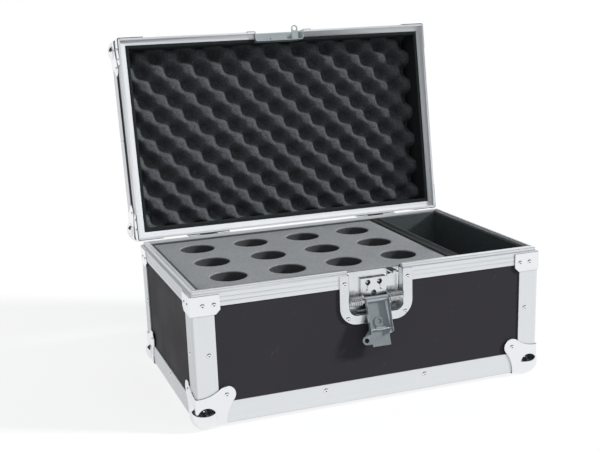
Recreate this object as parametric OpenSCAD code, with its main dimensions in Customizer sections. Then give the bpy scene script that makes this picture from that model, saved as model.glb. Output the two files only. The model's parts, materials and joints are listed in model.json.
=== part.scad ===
// Microphone flight case with its lid open: one module per piece, millimetres, Z up.
// X runs across the case from its middle, Y from the front face to the back, Z from the floor.
// Lid pieces are drawn shut, then turned about the hinge pin.

/* [Case] */
// width across the aluminium edges
case_w = 500; // [480:1:560]
// depth from front face to back face
case_d = 300; // [290:1:340]
// body height from the bottom edges to the parting plane
body_h = 176.5; // [170:0.5:220]
// lid height from the parting plane to its outer edges
lid_h = 72; // [68:1:100]
// thickness of the aluminium edges
metal_t = 1.5; // [1:0.1:2]
// thickness of the laminated boards
board_t = 7; // [6:0.5:7]
// leg of the edge angles
angle_leg = 30; // [28:1:32]
// radius of the outer arris of the edge angles
angle_round = 3; // [2:0.5:3]
// angle that the lid stands open
lid_open = 99; // [90:1:110]

/* [Rims] */
// height of the body rim's outer flange
flange_h = 17; // [14:1:20]
// height of the tongue above the parting plane
tongue_h = 5.2; // [4:0.1:5.2]
// distance of the tongue from the outer face
tongue_in = 3.5; // [3.4:0.1:4]
// radius on the tongue's outer top edge
tongue_round = 2.2; // [1:0.1:2.4]
// depth of both rims from the outer face
rim_depth = 10.5; // [10:0.1:10.5]
// height of the inner leg that holds the board
rim_leg_h = 12; // [8:1:14]
// depth of the two flutes in the outer flange
flute_depth = 0.3; // [0.2:0.1:0.5]
// width of each flute
flute_w = 1; // [0.6:0.1:1.5]
// height of the lid rim's outer flange
lid_flange_h = 20; // [16:1:22]
// width of the lid rim's outer lip
lip_w = 3; // [2.5:0.1:3]
// depth of the rabbet that takes the tongue
rabbet_h = 5.5; // [5.5:0.1:7]

/* [Ball corners] */
// radius of the ball
ball_r = 19.5; // [18:0.5:21]
// distance of the ball's centre from each outer face
ball_in = 12.5; // [11.5:0.5:13]
// how much of each lower ball is flat to stand on
foot_flat = 0.5; // [0.3:0.1:1]
// thickness of the corner's three plates
ball_plate_t = 1.5; // [1:0.1:2]
// length of each plate along an arris
ball_plate_edge = 39; // [36:1:42]
// distance of a plate's lobe from the two arrises
lobe_in = 40.3; // [38:0.1:42]
// radius of a plate's lobe
lobe_r = 12; // [10:0.5:12]
// flat length of a plate's end before its curve
plate_end = 3; // [2:1:5]

/* [Rim corner plates] */
// length of each leg
corner_plate_leg = 38; // [34:1:42]
// height on the body
corner_plate_h = 25.5; // [22:0.5:28]
// height on the lid
lid_plate_h = 16.5; // [14:0.5:17]
// thickness
corner_plate_t = 1.2; // [1:0.1:1.5]
// distance of the plates from the parting plane
corner_plate_gap = 1.5; // [1:0.1:3]
// cut at the free outer corner
corner_plate_cut = 6; // [3:1:8]

/* [Rivets] */
// radius of an edge rivet's head
rivet_r = 3.2; // [2.5:0.1:3.4]
// height of an edge rivet's head
rivet_h = 0.9; // [0.6:0.1:1.2]
// radius of the dimple in a rivet head
dimple_r = 1.1; // [0.8:0.1:1.4]
// depth of the dimple
dimple_depth = 0.6; // [0.3:0.1:0.8]
// height of the rivets in the upright angles, from the bottom edge
mid_rivet_z = 96; // [80:1:110]
// distance of the bottom edge rivets from the middle
base_rivet_x = 73; // [60:1:100]
// height of the bottom edge rivets from the bottom edge
base_rivet_z = 22; // [18:1:25]

/* [Inside] */
// thickness of the black lining
liner_t = 5; // [4:0.5:6]
// gap between the foam block and the lining
foam_gap = 0.5; // [0.3:0.1:1]
// height of the foam block above the parting plane
foam_rise = 1; // [0:0.5:2]
// microphone holes across the case
holes_x = 4; // [2:1:4]
// microphone holes front to back
holes_y = 3; // [2:1:3]
// spacing of the microphone holes
hole_pitch = 82; // [78:1:84]
// diameter of a microphone hole
hole_d = 50; // [40:1:54]
// depth of a microphone hole
hole_depth = 140; // [120:1:150]
// length of the foam block across the case
foam_l = 354; // [340:1:370]
// board inside the divider
divider_board_t = 7; // [6:0.5:8]
// foam skin on each side of the divider
divider_skin_t = 4.75; // [3:0.25:6]
// height of the divider and lining above the parting plane
divider_rise = 3; // [2:0.5:4]

/* [Lid foam] */
// distance of the foam's peaks from the parting plane
peak_h = 29; // [24:1:32]
// height of the waves
wave_h = 25; // [20:1:28]
// number of wave pairs across the lid
waves_x = 10; // [8:1:12]
// number of wave pairs from hinge to front
waves_y = 6; // [4:1:7]
// steps of the surface for each wave pair
wave_steps = 4; // [4:4:8]

/* [Latch] */
// distance of the latch to the right of the middle
latch_x = 2; // [-10:1:10]
// width of the dish's opening
dish_w = 77; // [76:1:84]
// width of the dish's flange on each side
dish_leg = 14; // [12:1:16]
// height of the dish's lower edge from the bottom edges
dish_bottom = 108; // [104:1:112]
// outer corner radius of the dish's flange
dish_round = 25; // [20:1:30]
// depth of the dish
dish_depth = 13.2; // [12.5:0.1:13.2]
// thickness of the dish's sheet
dish_sheet = 1.2; // [1:0.1:1.4]
// height of the lid's half of the dish
lid_dish_h = 42; // [38:1:42]
// width of the latch base
base_w = 36.6; // [36:0.1:38]
// height of the latch base
base_h = 27; // [24:1:27]
// height of the latch base's lower end from the bottom edges
base_low = 140; // [139:1:142]
// distance of the latch base's front behind the case's face
base_front = 8.2; // [8.2:0.1:9]
// thickness of the latch base's sheet
base_sheet = 1.2; // [1:0.1:1.5]
// radius of the three holes in the latch base
base_hole_r = 3.7; // [3:0.1:4]
// radius of the lever pin
pin_r = 2; // [1.8:0.1:2.2]
// height of the lever pin from the bottom edges
pin_h = 139.5; // [138:0.5:141]
// distance of the lever pin behind the case's face
pin_back = 1.5; // [1.5:0.1:2]
// half length of the lever pin
pin_half = 37.2; // [37:0.1:37.4]
// radial clearance of a turning fit
running_fit = 0.05; // [0.03:0.01:0.1]
// length of the lever from its pin to its lip
lever_l = 63; // [60:1:66]
// width of the lever's plate
lever_w = 26; // [24:1:28]
// width across the lever's side walls
lever_wall_w = 33; // [32:0.5:33.5]
// thickness of the lever
lever_t = 1.2; // [1:0.1:1.2]
// distance of the lever's plate behind its pin
lever_set = 3; // [3:0.1:3.4]
// height of the lever's side walls in front of its pin
lever_wall_n = 6.5; // [6:0.1:6.5]
// end of the lever's side walls from its pin
lever_wall_end = 46; // [45:1:50]
// radius of the rolled end around the lever pin
roll_r = 4.2; // [3.5:0.1:4.5]
// height of the finger lip
lip_h = 4; // [3:0.5:5]
// radius of the ear at the lever's left
ear_r = 6; // [5:0.5:6.5]
// hole in the lever's ear
ear_hole_r = 3.25; // [2.5:0.05:3.5]
// position of the ear from the lever's centre line and from its pin
ear_at = [-20.5, 53.5];
// radius of the ring at the lever's right
ring_r = 6; // [5:0.5:6]
// position of the ring from the lever's centre line and from its pin
ring_at = [14.5, 42];
// distance of the hook pin from the lever pin
hook_at = 40; // [39:0.5:42]
// distance of the hook pin in front of the lever pin
hook_n = 0.6; // [0.6:0.1:1]
// radius of the hook pin
hook_pin_r = 1.2; // [1:0.1:1.3]
// outer radius of the hook's eye
hook_eye_r = 2.2; // [2:0.1:2.3]
// half width of the hook's eye
hook_half = 7; // [6:0.5:9]
// radius of the hook's ring
hook_ring_r = 7; // [6:0.5:7]
// distance of the hook's ring from the hook pin
hook_reach = 9; // [8:0.5:10]
// thickness of the hook
hook_t = 1.2; // [1:0.1:1.5]
// turns of each latch spring
spring_turns = 5; // [3:1:6]
// radius of a spring's coil to the middle of its wire
coil_r = 6.3; // [5.5:0.1:6.5]
// radius of the spring wire
wire_r = 0.6; // [0.5:0.05:0.7]
// rise of the coil for each turn
coil_pitch = 2.9; // [2.6:0.1:3]
// distance of the dish's upper rivets from the parting plane
dish_rivet_drop = 11; // [9:1:13]
// width of the padlock tab and eye
tab_w = 10; // [9:0.5:10]
// thickness of the padlock tab and eye
tab_t = 2; // [1.5:0.1:2.5]
// distance of the tabs to the right of the latch's centre line
tab_x = 26.2; // [26:0.1:27]
// radius of the padlock hole
tab_hole_r = 3.35; // [3:0.05:3.5]
// distance of the padlock hole in front of the case's face
tab_hole_out = 2.9; // [2.5:0.1:3.5]
// width of the keeper on the lid
keeper_w = 26; // [22:1:28]
// height of the keeper
keeper_h = 9; // [8:1:10]
// thickness of the keeper
keeper_t = 4; // [3:0.5:4]

/* [Hinges] */
// distance of each hinge from the middle
hinge_x = 141; // [120:1:160]
// width of a hinge
hinge_w = 67; // [60:1:72]
// distance of the hinge pin behind the back face
hinge_back = 6.5; // [6.5:0.1:7.5]
// distance of the hinge pin below the parting plane
hinge_drop = 1.5; // [1:0.1:2]
// height of the body leaf
body_leaf_h = 40; // [34:1:44]
// height of the lid leaf
lid_leaf_h = 38; // [34:1:40]
// thickness of a leaf
leaf_t = 1.5; // [1.2:0.1:1.5]
// outer radius of a knuckle
knuckle_r = 4.5; // [4.2:0.1:4.5]
// radius of a hinge pin
hinge_pin_r = 2; // [1.5:0.1:2.2]
// half width of the middle knuckle
knuckle_half = 13.7; // [12:0.1:16]
// gap between knuckles
knuckle_gap = 0.3; // [0.2:0.1:0.5]
// outer end of the two stop lips from the pin
stop_r = 9.5; // [8.5:0.5:11]
// slope of the face where the two stop lips meet
stop_angle = -30; // [-40:1:-20]

/* [Handle] */
// distance between the handle's two brackets
handle_span = 140; // [120:1:160]
// length of the bail's arms
arm_l = 42; // [38:1:50]
// radius of the bail's rod
rod_r = 3.5; // [3:0.1:4]
// height of the handle's pivot above the lid board
pivot_h = 13; // [13:0.5:15]
// radius of the grip
grip_r = 9; // [8:0.5:10]
// length of the grip
grip_l = 112; // [90:1:120]
// width of a bracket's foot
bracket_w = 16; // [14:1:20]
// length of a bracket's foot
bracket_l = 34; // [28:1:40]

/* [Hidden] */
$fn = 64;
far = 400;
hw = case_w / 2;
// height of the bottom edges above the floor
low = ball_r - ball_in - foot_flat;
part_z = low + body_h;
lid_top = part_z + lid_h;
panel_in = metal_t + board_t;
liner_in = rim_depth + liner_t;
foam_in = liner_in + foam_gap;
rim_leg_t = rim_depth - panel_in;
notch_gap = 0.3;
floor_z = low + panel_in;
liner_top = part_z + 2;
inside_low = floor_z + liner_t;
ball_proud = ball_r - ball_in;
plate_arris = 2;
plate_corner_r = ball_in + 3 * ball_plate_t;
// arc that joins a plate's end to its lobe
plate_arc = (pow(lobe_in - plate_end, 2) + pow(lobe_in - ball_plate_edge, 2) - lobe_r * lobe_r)
    / (2 * (lobe_r + lobe_in - ball_plate_edge));
arc_in = ball_plate_edge + plate_arc;
arc_dir = [plate_end - lobe_in, arc_in - lobe_in] / (lobe_r + plate_arc);
tangent = [lobe_in, lobe_in] + lobe_r * arc_dir;
// foam block
foam_x0 = -hw + foam_in;
foam_mid = [foam_x0 + foam_l / 2, case_d / 2];
foam_top = part_z + foam_rise;
divider_x0 = foam_x0 + foam_l + foam_gap;
divider_t = divider_board_t + 2 * divider_skin_t;
// latch
dish_low = low + dish_bottom;
dish_open_low = dish_low + dish_leg;
dish_flange_w = dish_w + 2 * dish_leg;
dish_open_round = dish_round - dish_leg;
cup_w = dish_w + 2 * dish_sheet;
notch_w = cup_w + 2 * notch_gap;
lid_pan_low = part_z - lid_dish_h + dish_leg;
pin_at = [pin_back, low + pin_h];
base_z = low + base_low;
rest_gap = 0.03;
lean_reach = [pin_back + dish_sheet, pin_at[1] - dish_open_low];
lever_lean = atan2(lean_reach[0], lean_reach[1])
    + asin((lever_set + rest_gap) / norm(lean_reach));
hook_pin_half = lever_wall_w / 2 + 0.3;
tab_top = part_z - corner_plate_gap;
lid_tab_h = 2;
keeper_low = 3;
// hinge
hinge_pin = [case_d + hinge_back, part_z - hinge_drop];
leaf_low = part_z - hinge_drop - knuckle_r - body_leaf_h;
web_t = 1.5;
// handle pivot in the shut lid
lid_board_z = lid_top - metal_t;
lid_board_low = part_z + rabbet_h + metal_t;
handle_z = lid_board_z + pivot_h;
foot_t = 2.5;
lug_t = 6;
stub_r = 2.5;
lug_r = stub_r + 3;
lug_x = handle_span / 2 + rod_r + 0.5;
handle_rest = lid_open - 90;
// reach of the open lid's far balls and of the hanging lever, front to back
far_ball = [ball_in - hinge_pin[0], lid_top - ball_in - hinge_pin[1]];
back_reach = hinge_pin[0] + far_ball[0] * cos(lid_open) + far_ball[1] * sin(lid_open) + ball_r;
front_reach = pin_back - lever_wall_end * sin(lever_lean) - lever_wall_n * cos(lever_lean);
frame_y = -(back_reach + front_reach) / 2;

// colours
c_alu = [0.84, 0.85, 0.87];
c_chrome = [0.78, 0.79, 0.81];
c_steel = [0.70, 0.72, 0.75];
c_lever = [0.50, 0.54, 0.58];
c_board = [0.23, 0.22, 0.24];
c_liner = [0.10, 0.10, 0.11];
c_foam = [0.50, 0.50, 0.51];
c_lid_foam = [0.16, 0.16, 0.17];
c_grip = [0.08, 0.08, 0.08];

// box between two opposite corners
module span(lo, hi) {
    translate(lo) cube(hi - lo);
}

// 2D in Y and Z drawn along X, from the middle
module along_x(length) {
    translate([-length / 2, 0, 0]) rotate([90, 0, 90]) linear_extrude(length) children();
}

// 2D in X and Z drawn along Y, from y0 to y1
module along_y(y0, y1) {
    translate([0, y1, 0]) rotate([90, 0, 0]) linear_extrude(y1 - y0) children();
}

// cylinder along X between two ends
module rod_x(r, x0, x1) {
    translate([x0, 0, 0]) rotate([0, 90, 0]) cylinder(r = r, h = x1 - x0);
}

module flip_x(on) {
    if (on) mirror([1, 0, 0]) children();
    else children();
}

module both_x() {
    for (on = [false, true]) flip_x(on) children();
}

// piece on the front face of a corner frame, and the same on its side face
module both_faces() {
    children();
    mirror([1, -1, 0]) children();
}

// front piece turned to the back face
module at_back(on = true) {
    if (on) translate([0, case_d, 0]) mirror([0, 1, 0]) children();
    else children();
}

// corner frame with its origin at an outer corner, axes into the case
module at_corner(right, back) {
    at_back(back) flip_x(right) translate([-hw, 0, 0]) children();
}

module each_corner() {
    for (right = [false, true], back = [false, true]) at_corner(right, back) children();
}

// shut lid piece turned to the open lid
module open_lid() {
    translate([0, hinge_pin[0], hinge_pin[1]]) rotate([-lid_open, 0, 0])
        translate([0, -hinge_pin[0], -hinge_pin[1]]) children();
}

// whole case moved to the middle of its own outline
module in_frame() {
    translate([0, frame_y, 0]) children();
}

// ---- edges ----

// waste outside a rounded arris of radius r
module arris_waste(r) {
    difference() {
        translate([-1, -1]) square(r + 1);
        translate([r, r]) circle(r);
    }
}

module angle_profile() {
    difference() {
        union() {
            square([angle_leg, metal_t]);
            square([metal_t, angle_leg]);
        }
        arris_waste(angle_round);
    }
}

// bottom edge angle of the front
module base_angle_x() {
    color(c_alu) translate([0, 0, low]) along_x(case_w - 2 * angle_leg) angle_profile();
}

// bottom edge angle of the left side
module base_angle_y() {
    color(c_alu) translate([-hw, 0, low]) along_y(angle_leg, case_d - angle_leg) angle_profile();
}

module corner_angle(z0, z1) {
    color(c_alu) translate([0, 0, z0]) linear_extrude(z1 - z0) angle_profile();
}

// body rim in distance from the outer face and height from the parting plane
module rim_profile() {
    difference() {
        union() {
            translate([0, -flange_h]) square([metal_t, flange_h]);
            translate([0, -metal_t]) square([rim_depth, metal_t]);
            translate([panel_in, -rim_leg_h]) square([rim_leg_t, rim_leg_h]);
            translate([tongue_in, 0]) square([rim_depth - tongue_in, tongue_h - tongue_round]);
            translate([tongue_in + tongue_round, 0]) square([rim_depth - tongue_in - tongue_round, tongue_h]);
            translate([tongue_in + tongue_round, tongue_h - tongue_round]) circle(tongue_round);
        }
        for (h = [0.3, 0.65])
            translate([-1, -flange_h * h - flute_w / 2]) square([1 + flute_depth, flute_w]);
    }
}

// lid rim in distance from the outer face and height from the parting plane
module lid_rim_profile() {
    difference() {
        union() {
            square([metal_t, lid_flange_h]);
            square([lip_w, rabbet_h + metal_t]);
            translate([0, rabbet_h]) square([rim_depth, metal_t]);
            translate([panel_in, rabbet_h]) square([rim_leg_t, metal_t + rim_leg_h]);
        }
        for (h = [0.35, 0.7])
            translate([-1, lid_flange_h * h - flute_w / 2]) square([1 + flute_depth, flute_w]);
    }
}

// plan of the front or left rim with mitred ends and rounded outer corners
module mitre_plan(front) {
    q = rim_depth + 2;
    intersection() {
        if (front) polygon([[-hw, 0], [hw, 0], [hw - q, q], [-hw + q, q]]);
        else polygon([[-hw, 0], [-hw + q, q], [-hw + q, case_d - q], [-hw, case_d]]);
        rounded_plan();
    }
}

module rounded_plan() {
    r = angle_round;
    translate([-hw + r, 0]) square([case_w - 2 * r, case_d]);
    translate([-hw, r]) square([case_w, case_d - 2 * r]);
    for (x = [-hw + r, hw - r], y = [r, case_d - r]) translate([x, y]) circle(r);
}

module mitre_block(front, z0, z1) {
    translate([0, 0, z0]) linear_extrude(z1 - z0) mitre_plan(front);
}

module rim_x(notched) {
    color(c_alu) difference() {
        intersection() {
            translate([0, 0, part_z]) along_x(case_w) rim_profile();
            mitre_block(true, part_z - flange_h - 1, part_z + tongue_h + 1);
        }
        if (notched) notch_block(part_z - far / 2, part_z + far / 2);
    }
}

module rim_y() {
    color(c_alu) intersection() {
        translate([-hw, 0, part_z]) along_y(0, case_d) rim_profile();
        mitre_block(false, part_z - flange_h - 1, part_z + tongue_h + 1);
    }
}

module lid_rim_x(notched) {
    color(c_alu) difference() {
        intersection() {
            translate([0, 0, part_z]) along_x(case_w) lid_rim_profile();
            mitre_block(true, part_z - 1, part_z + lid_flange_h + 1);
        }
        if (notched) notch_block(part_z - far / 2, part_z + far / 2);
    }
}

module lid_rim_y() {
    color(c_alu) intersection() {
        translate([-hw, 0, part_z]) along_y(0, case_d) lid_rim_profile();
        mitre_block(false, part_z - 1, part_z + lid_flange_h + 1);
    }
}

// space that the latch needs in the rims
module notch_block(z0, z1) {
    span([latch_x - notch_w / 2, -1, z0], [latch_x + notch_w / 2, rim_depth + 1, z1]);
}

// ---- ball corners ----

// one plate of a ball corner, drawn from the case's outer corner
module ball_plate_outline() {
    t = ball_plate_t;
    e = ball_plate_edge;
    difference() {
        union() {
            translate([lobe_in, lobe_in]) circle(lobe_r);
            polygon([
                [-t, -t], [e, -t], [e, plate_end], [tangent[1], tangent[0]],
                [lobe_in, lobe_in], [tangent[0], tangent[1]], [plate_end, e], [-t, e]
            ]);
        }
        translate([plate_end, arc_in]) circle(plate_arc);
        translate([arc_in, plate_end]) circle(plate_arc);
        translate([-t, -t]) arris_waste(plate_corner_r);
    }
}

module ball_plate() {
    difference() {
        along_y(-ball_plate_t, 0) ball_plate_outline();
        translate([-ball_plate_t, -ball_plate_t, -far / 2])
            linear_extrude(far) arris_waste(ball_plate_t + plate_arris);
        translate([far / 2, -ball_plate_t, -ball_plate_t])
            along_x(2 * far) arris_waste(ball_plate_t + plate_arris);
    }
}

// ball with three plates, in the corner frame
module ball_corner(foot) {
    color(c_chrome) difference() {
        union() {
            translate([ball_in, ball_in, ball_in]) sphere(ball_r);
            ball_plate();
            mirror([1, -1, 0]) ball_plate();
            mirror([0, 1, -1]) ball_plate();
        }
        translate([metal_t, metal_t, metal_t]) cube(far);
        translate([0, 0, ball_in]) cube(far);
        if (foot) translate([-far / 2, -far / 2, -far - low]) cube(far);
    }
}

// wrapped plate at a rim corner, in the corner frame
module corner_plate(z0, h, low_cut) {
    leg = corner_plate_leg;
    t = corner_plate_t;
    cut = corner_plate_cut;
    color(c_chrome) translate([0, 0, z0]) difference() {
        linear_extrude(h) difference() {
            translate([-t, -t]) square(leg + t);
            square(leg + 1);
            translate([-t, -t]) arris_waste(t + plate_arris);
        }
        translate([0, 0, low_cut ? 0 : h]) both_faces() translate([leg, -t, 0])
            rotate([0, 45, 0]) cube([cut * sqrt(2), 2 * t + 2, cut * sqrt(2)], center = true);
    }
}

// ---- rivets ----

// head on the face y = 0, pointing to the front
module rivet_head(r, h) {
    rotate([90, 0, 0]) difference() {
        union() {
            cylinder(r = r, h = h * 0.4);
            translate([0, 0, h * 0.4]) cylinder(r1 = r, r2 = r * 0.7, h = h * 0.6);
        }
        translate([0, 0, h - dimple_depth]) cylinder(r = dimple_r, h = 1);
    }
}

// heads on the two upright faces of a corner frame at x and z, out by d
module corner_rivet(x, z, d) {
    both_faces() translate([x, -d, z]) edge_rivet();
}

module edge_rivet() {
    rivet_head(rivet_r, rivet_h);
}

module ball_rivets() {
    corner_rivet(lobe_in, lobe_in, ball_plate_t);
    mirror([0, 1, -1]) translate([lobe_in, -ball_plate_t, lobe_in]) edge_rivet();
}

module plate_rivets(z) {
    for (x = [0.4, 0.79]) corner_rivet(corner_plate_leg * x, z, corner_plate_t);
}

module body_rivets() {
    color(c_chrome) {
        each_corner() {
            translate([0, 0, low]) ball_rivets();
            corner_rivet(angle_leg * 0.68, low + mid_rivet_z, 0);
            plate_rivets(part_z - corner_plate_gap - corner_plate_h / 2);
        }
        for (back = [false, true], x = [-1, 1]) at_back(back)
            translate([x * base_rivet_x, 0, low + base_rivet_z]) edge_rivet();
        both_x() translate([-hw, case_d / 2, low + base_rivet_z]) rotate([0, 0, -90])
            edge_rivet();
        both_x() for (x = [-1, 1], z = [0.35, 0.75])
            translate([hinge_x + x * hinge_w / 3, case_d + leaf_t, leaf_low + body_leaf_h * z])
                mirror([0, 1, 0]) edge_rivet();
    }
}

module lid_rivets() {
    color(c_chrome) {
        each_corner() {
            translate([0, 0, lid_top]) mirror([0, 0, 1]) ball_rivets();
            plate_rivets(part_z + corner_plate_gap + lid_plate_h / 2);
        }
        for (back = [false, true], x = [-1, 1]) at_back(back)
            translate([x * base_rivet_x, 0, lid_top - base_rivet_z]) edge_rivet();
        both_x() translate([-hw, case_d / 2, lid_top - base_rivet_z]) rotate([0, 0, -90])
            edge_rivet();
        both_x() for (x = [-1, 1], z = [0.3, 0.75])
            translate([hinge_x + x * hinge_w / 3, case_d + leaf_t, part_z + lid_leaf_h * z])
                mirror([0, 1, 0]) edge_rivet();
        lid_side() dish_rivets(part_z - lid_dish_h);
        both_x() for (y = [-1, 1])
            translate([lug_x + bracket_w / 4, case_d / 2 + y * bracket_l * 0.35, lid_board_z + foot_t])
                rotate([-90, 0, 0]) edge_rivet();
    }
}

// ---- boards ----

module base_panel() {
    color(c_board) span([-hw + panel_in, panel_in, low + metal_t],
        [hw - panel_in, case_d - panel_in, floor_z]);
}

module board_x(z0, z1) {
    color(c_board) span([-hw + metal_t, metal_t, z0], [hw - metal_t, panel_in, z1]);
}

module board_y(z0, z1) {
    color(c_board) span([-hw + metal_t, panel_in, z0], [-hw + panel_in, case_d - panel_in, z1]);
}

module front_panel() {
    difference() {
        board_x(low + metal_t, part_z - metal_t);
        translate([latch_x, 0, 0]) along_y(0, panel_in + 1)
            pan_outline(notch_w, dish_open_low - dish_sheet - notch_gap, part_z + 1,
                dish_open_round + dish_sheet + notch_gap);
    }
}

module lid_front_board() {
    difference() {
        lid_board_x();
        lid_side() translate([latch_x, 0, 0]) along_y(0, panel_in + 1)
            pan_outline(notch_w, lid_pan_low - dish_sheet - notch_gap, part_z + 1,
                dish_open_round + dish_sheet + notch_gap);
    }
}

module lid_panel() {
    color(c_board) span([-hw + panel_in, panel_in, lid_top - panel_in],
        [hw - panel_in, case_d - panel_in, lid_top - metal_t]);
}

// ---- inside ----

// lining of a long wall between z0 and z1, stepped around the rim's leg at one end
module liner_x(z0, z1, leg0, leg1) {
    difference() {
        span([-hw + panel_in, panel_in, z0], [hw - panel_in, liner_in, z1]);
        span([-hw, 0, leg0], [hw, rim_depth, leg1]);
        both_x() span([-hw, 0, leg0], [-hw + rim_depth, far, leg1]);
    }
}

module liner_y(z0, z1, leg0, leg1) {
    difference() {
        span([-hw + panel_in, liner_in, z0], [-hw + liner_in, case_d - liner_in, z1]);
        span([-hw, 0, leg0], [-hw + rim_depth, case_d, leg1]);
    }
}

module liner_set(z0, z1, leg0, leg1) {
    liner_x(z0, z1, leg0, leg1);
    at_back() liner_x(z0, z1, leg0, leg1);
    both_x() liner_y(z0, z1, leg0, leg1);
}

module body_liner() {
    color(c_liner) {
        span([-hw + panel_in, panel_in, floor_z], [hw - panel_in, case_d - panel_in, inside_low]);
        difference() {
            liner_set(inside_low, liner_top, part_z - rim_leg_h, liner_top + 1);
            span([latch_x - notch_w / 2, 0, dish_open_low - dish_sheet - notch_gap],
                [latch_x + notch_w / 2, liner_in + 1, liner_top + 1]);
        }
    }
}

module lid_liner() {
    color(c_liner) difference() {
        liner_set(part_z + rabbet_h, lid_top - panel_in, part_z, part_z + rabbet_h + metal_t + rim_leg_h);
        span([latch_x - notch_w / 2, 0, part_z],
            [latch_x + notch_w / 2, liner_in + 1, part_z + lid_dish_h - dish_leg + dish_sheet + notch_gap]);
    }
}

module microphone_foam() {
    color(c_foam) difference() {
        span([foam_x0, foam_in, inside_low], [foam_x0 + foam_l, case_d - foam_in, foam_top]);
        for (i = [0:holes_x - 1], j = [0:holes_y - 1])
            translate([
                foam_mid[0] + (i - (holes_x - 1) / 2) * hole_pitch,
                foam_mid[1] + (j - (holes_y - 1) / 2) * hole_pitch,
                foam_top - hole_depth
            ]) cylinder(d = hole_d, h = hole_depth + 1);
    }
}

// board with a foam skin on each side
module divider() {
    y0 = liner_in;
    y1 = case_d - liner_in;
    top = part_z + divider_rise;
    x1 = divider_x0 + divider_skin_t;
    x2 = x1 + divider_board_t;
    color(c_liner) span([divider_x0, y0, inside_low], [x1, y1, top]);
    color(c_board) span([x1, y0, inside_low], [x2, y1, top]);
    color(c_liner) span([x2, y0, inside_low], [x2 + divider_skin_t, y1, top]);
}

// height of the lid foam's surface above its lowest peak at a point of the wave grid
function wave(i, j) = wave_h * (0.5 + 0.5 * sin(360 * i / wave_steps) * sin(360 * j / wave_steps));

module convoluted_foam() {
    nx = waves_x * wave_steps;
    ny = waves_y * wave_steps;
    x0 = -hw + liner_in;
    y0 = liner_in;
    dx = (case_w - 2 * liner_in) / nx;
    dy = (case_d - 2 * liner_in) / ny;
    back = lid_top - panel_in;
    row = ny + 1;
    top = (nx + 1) * row;
    face = [for (i = [0:nx], j = [0:ny]) [x0 + i * dx, y0 + j * dy, part_z + peak_h + wave(i, j)]];
    rim = concat(
        [for (i = [0:nx - 1]) i * row],
        [for (j = [0:ny - 1]) nx * row + j],
        [for (i = [nx:-1:1]) i * row + ny],
        [for (j = [ny:-1:1]) j]
    );
    count = len(rim);
    under = [for (k = rim) [face[k][0], face[k][1], back]];
    skin = [for (i = [0:nx - 1], j = [0:ny - 1], half = [0, 1])
        half == 0 ? [i * row + j, (i + 1) * row + j, (i + 1) * row + j + 1]
            : [i * row + j, (i + 1) * row + j + 1, i * row + j + 1]];
    wall = [for (k = [0:count - 1], half = [0, 1])
        half == 0 ? [rim[k], top + k, top + (k + 1) % count]
            : [rim[k], top + (k + 1) % count, rim[(k + 1) % count]]];
    cap = [for (k = [0:count - 1]) [top + count, top + (k + 1) % count, top + k]];
    color(c_lid_foam) polyhedron(points = concat(face, under, [[0, case_d / 2, back]]), faces = [
        for (f = concat(skin, wall, cap)) [for (k = [len(f) - 1:-1:0]) f[k]]
    ]);
}

// ---- latch ----

// upright panel with rounded lower corners
module pan_outline(w, z0, z1, r) {
    intersection() {
        translate([-w / 2, z0]) square([w, z1 - z0]);
        union() {
            translate([-w / 2, z0 + r]) square([w, z1 - z0]);
            translate([-w / 2 + r, z0]) square([w - 2 * r, z1 - z0]);
            for (x = [-w / 2 + r, w / 2 - r]) translate([x, z0 + r]) circle(r);
        }
    }
}

// dish with its opening's foot at z0, flange foot at z0 - dish_leg, top at the parting plane
module dish(z0, seat_z) {
    r = dish_open_round;
    back = dish_depth + dish_sheet;
    color(c_steel) translate([latch_x, 0, 0]) {
        along_y(-dish_sheet, 0) difference() {
            pan_outline(dish_flange_w, z0 - dish_leg, part_z, dish_round);
            pan_outline(dish_w, z0, part_z + 1, r);
        }
        along_y(0, metal_t) difference() {
            intersection() {
                pan_outline(dish_flange_w, z0 - dish_leg, part_z, dish_round);
                translate([-hw, seat_z - far]) square([case_w, far]);
            }
            pan_outline(dish_w, z0, part_z + 1, r);
        }
        along_y(-dish_sheet, back) difference() {
            pan_outline(cup_w, z0 - dish_sheet, part_z, r + dish_sheet);
            pan_outline(dish_w, z0, part_z + 1, r);
        }
        along_y(dish_depth, back) pan_outline(cup_w, z0 - dish_sheet, part_z, r + dish_sheet);
    }
}

// lid side of the latch drawn upside down about the parting plane
module lid_side() {
    translate([0, 0, 2 * part_z]) mirror([0, 0, 1]) children();
}

// side wall of the latch base with its ear around the lever pin, in Y and Z
module base_ear() {
    ear = roll_r;
    difference() {
        union() {
            translate(pin_at) circle(ear);
            polygon([
                [pin_back, pin_at[1] - ear], [dish_depth, base_z - ear / 2], [dish_depth, base_z + base_h],
                [base_front, base_z + base_h], [base_front, base_z + 2 * ear],
                [pin_back, pin_at[1] + ear]
            ]);
        }
        translate(pin_at) circle(pin_r + running_fit);
    }
}

module latch_base() {
    half = base_w / 2;
    color(c_steel) translate([latch_x, 0, 0]) {
        difference() {
            span([-half, base_front, base_z], [half, base_front + base_sheet, base_z + base_h]);
            for (at = base_holes) translate([at[0], 0, at[1]]) rotate([-90, 0, 0])
                cylinder(r = base_hole_r, h = dish_depth);
        }
        both_x() translate([half - base_sheet / 2, 0, 0]) along_x(base_sheet) base_ear();
        both_x() translate([base_w * 0.27, base_front - 0.6, base_z + base_h * 0.4]) rotate([-90, 0, 0])
            cylinder(r = 1.2, h = 1);
    }
}

base_holes = [
    [-base_w * 0.23, base_z + base_h * 0.78],
    [base_w * 0.23, base_z + base_h * 0.78],
    [0, base_z + base_h * 0.24]
];

module lever_pin() {
    color(c_chrome) translate([latch_x, pin_at[0], pin_at[1]]) rod_x(pin_r, -pin_half, pin_half);
}

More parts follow.
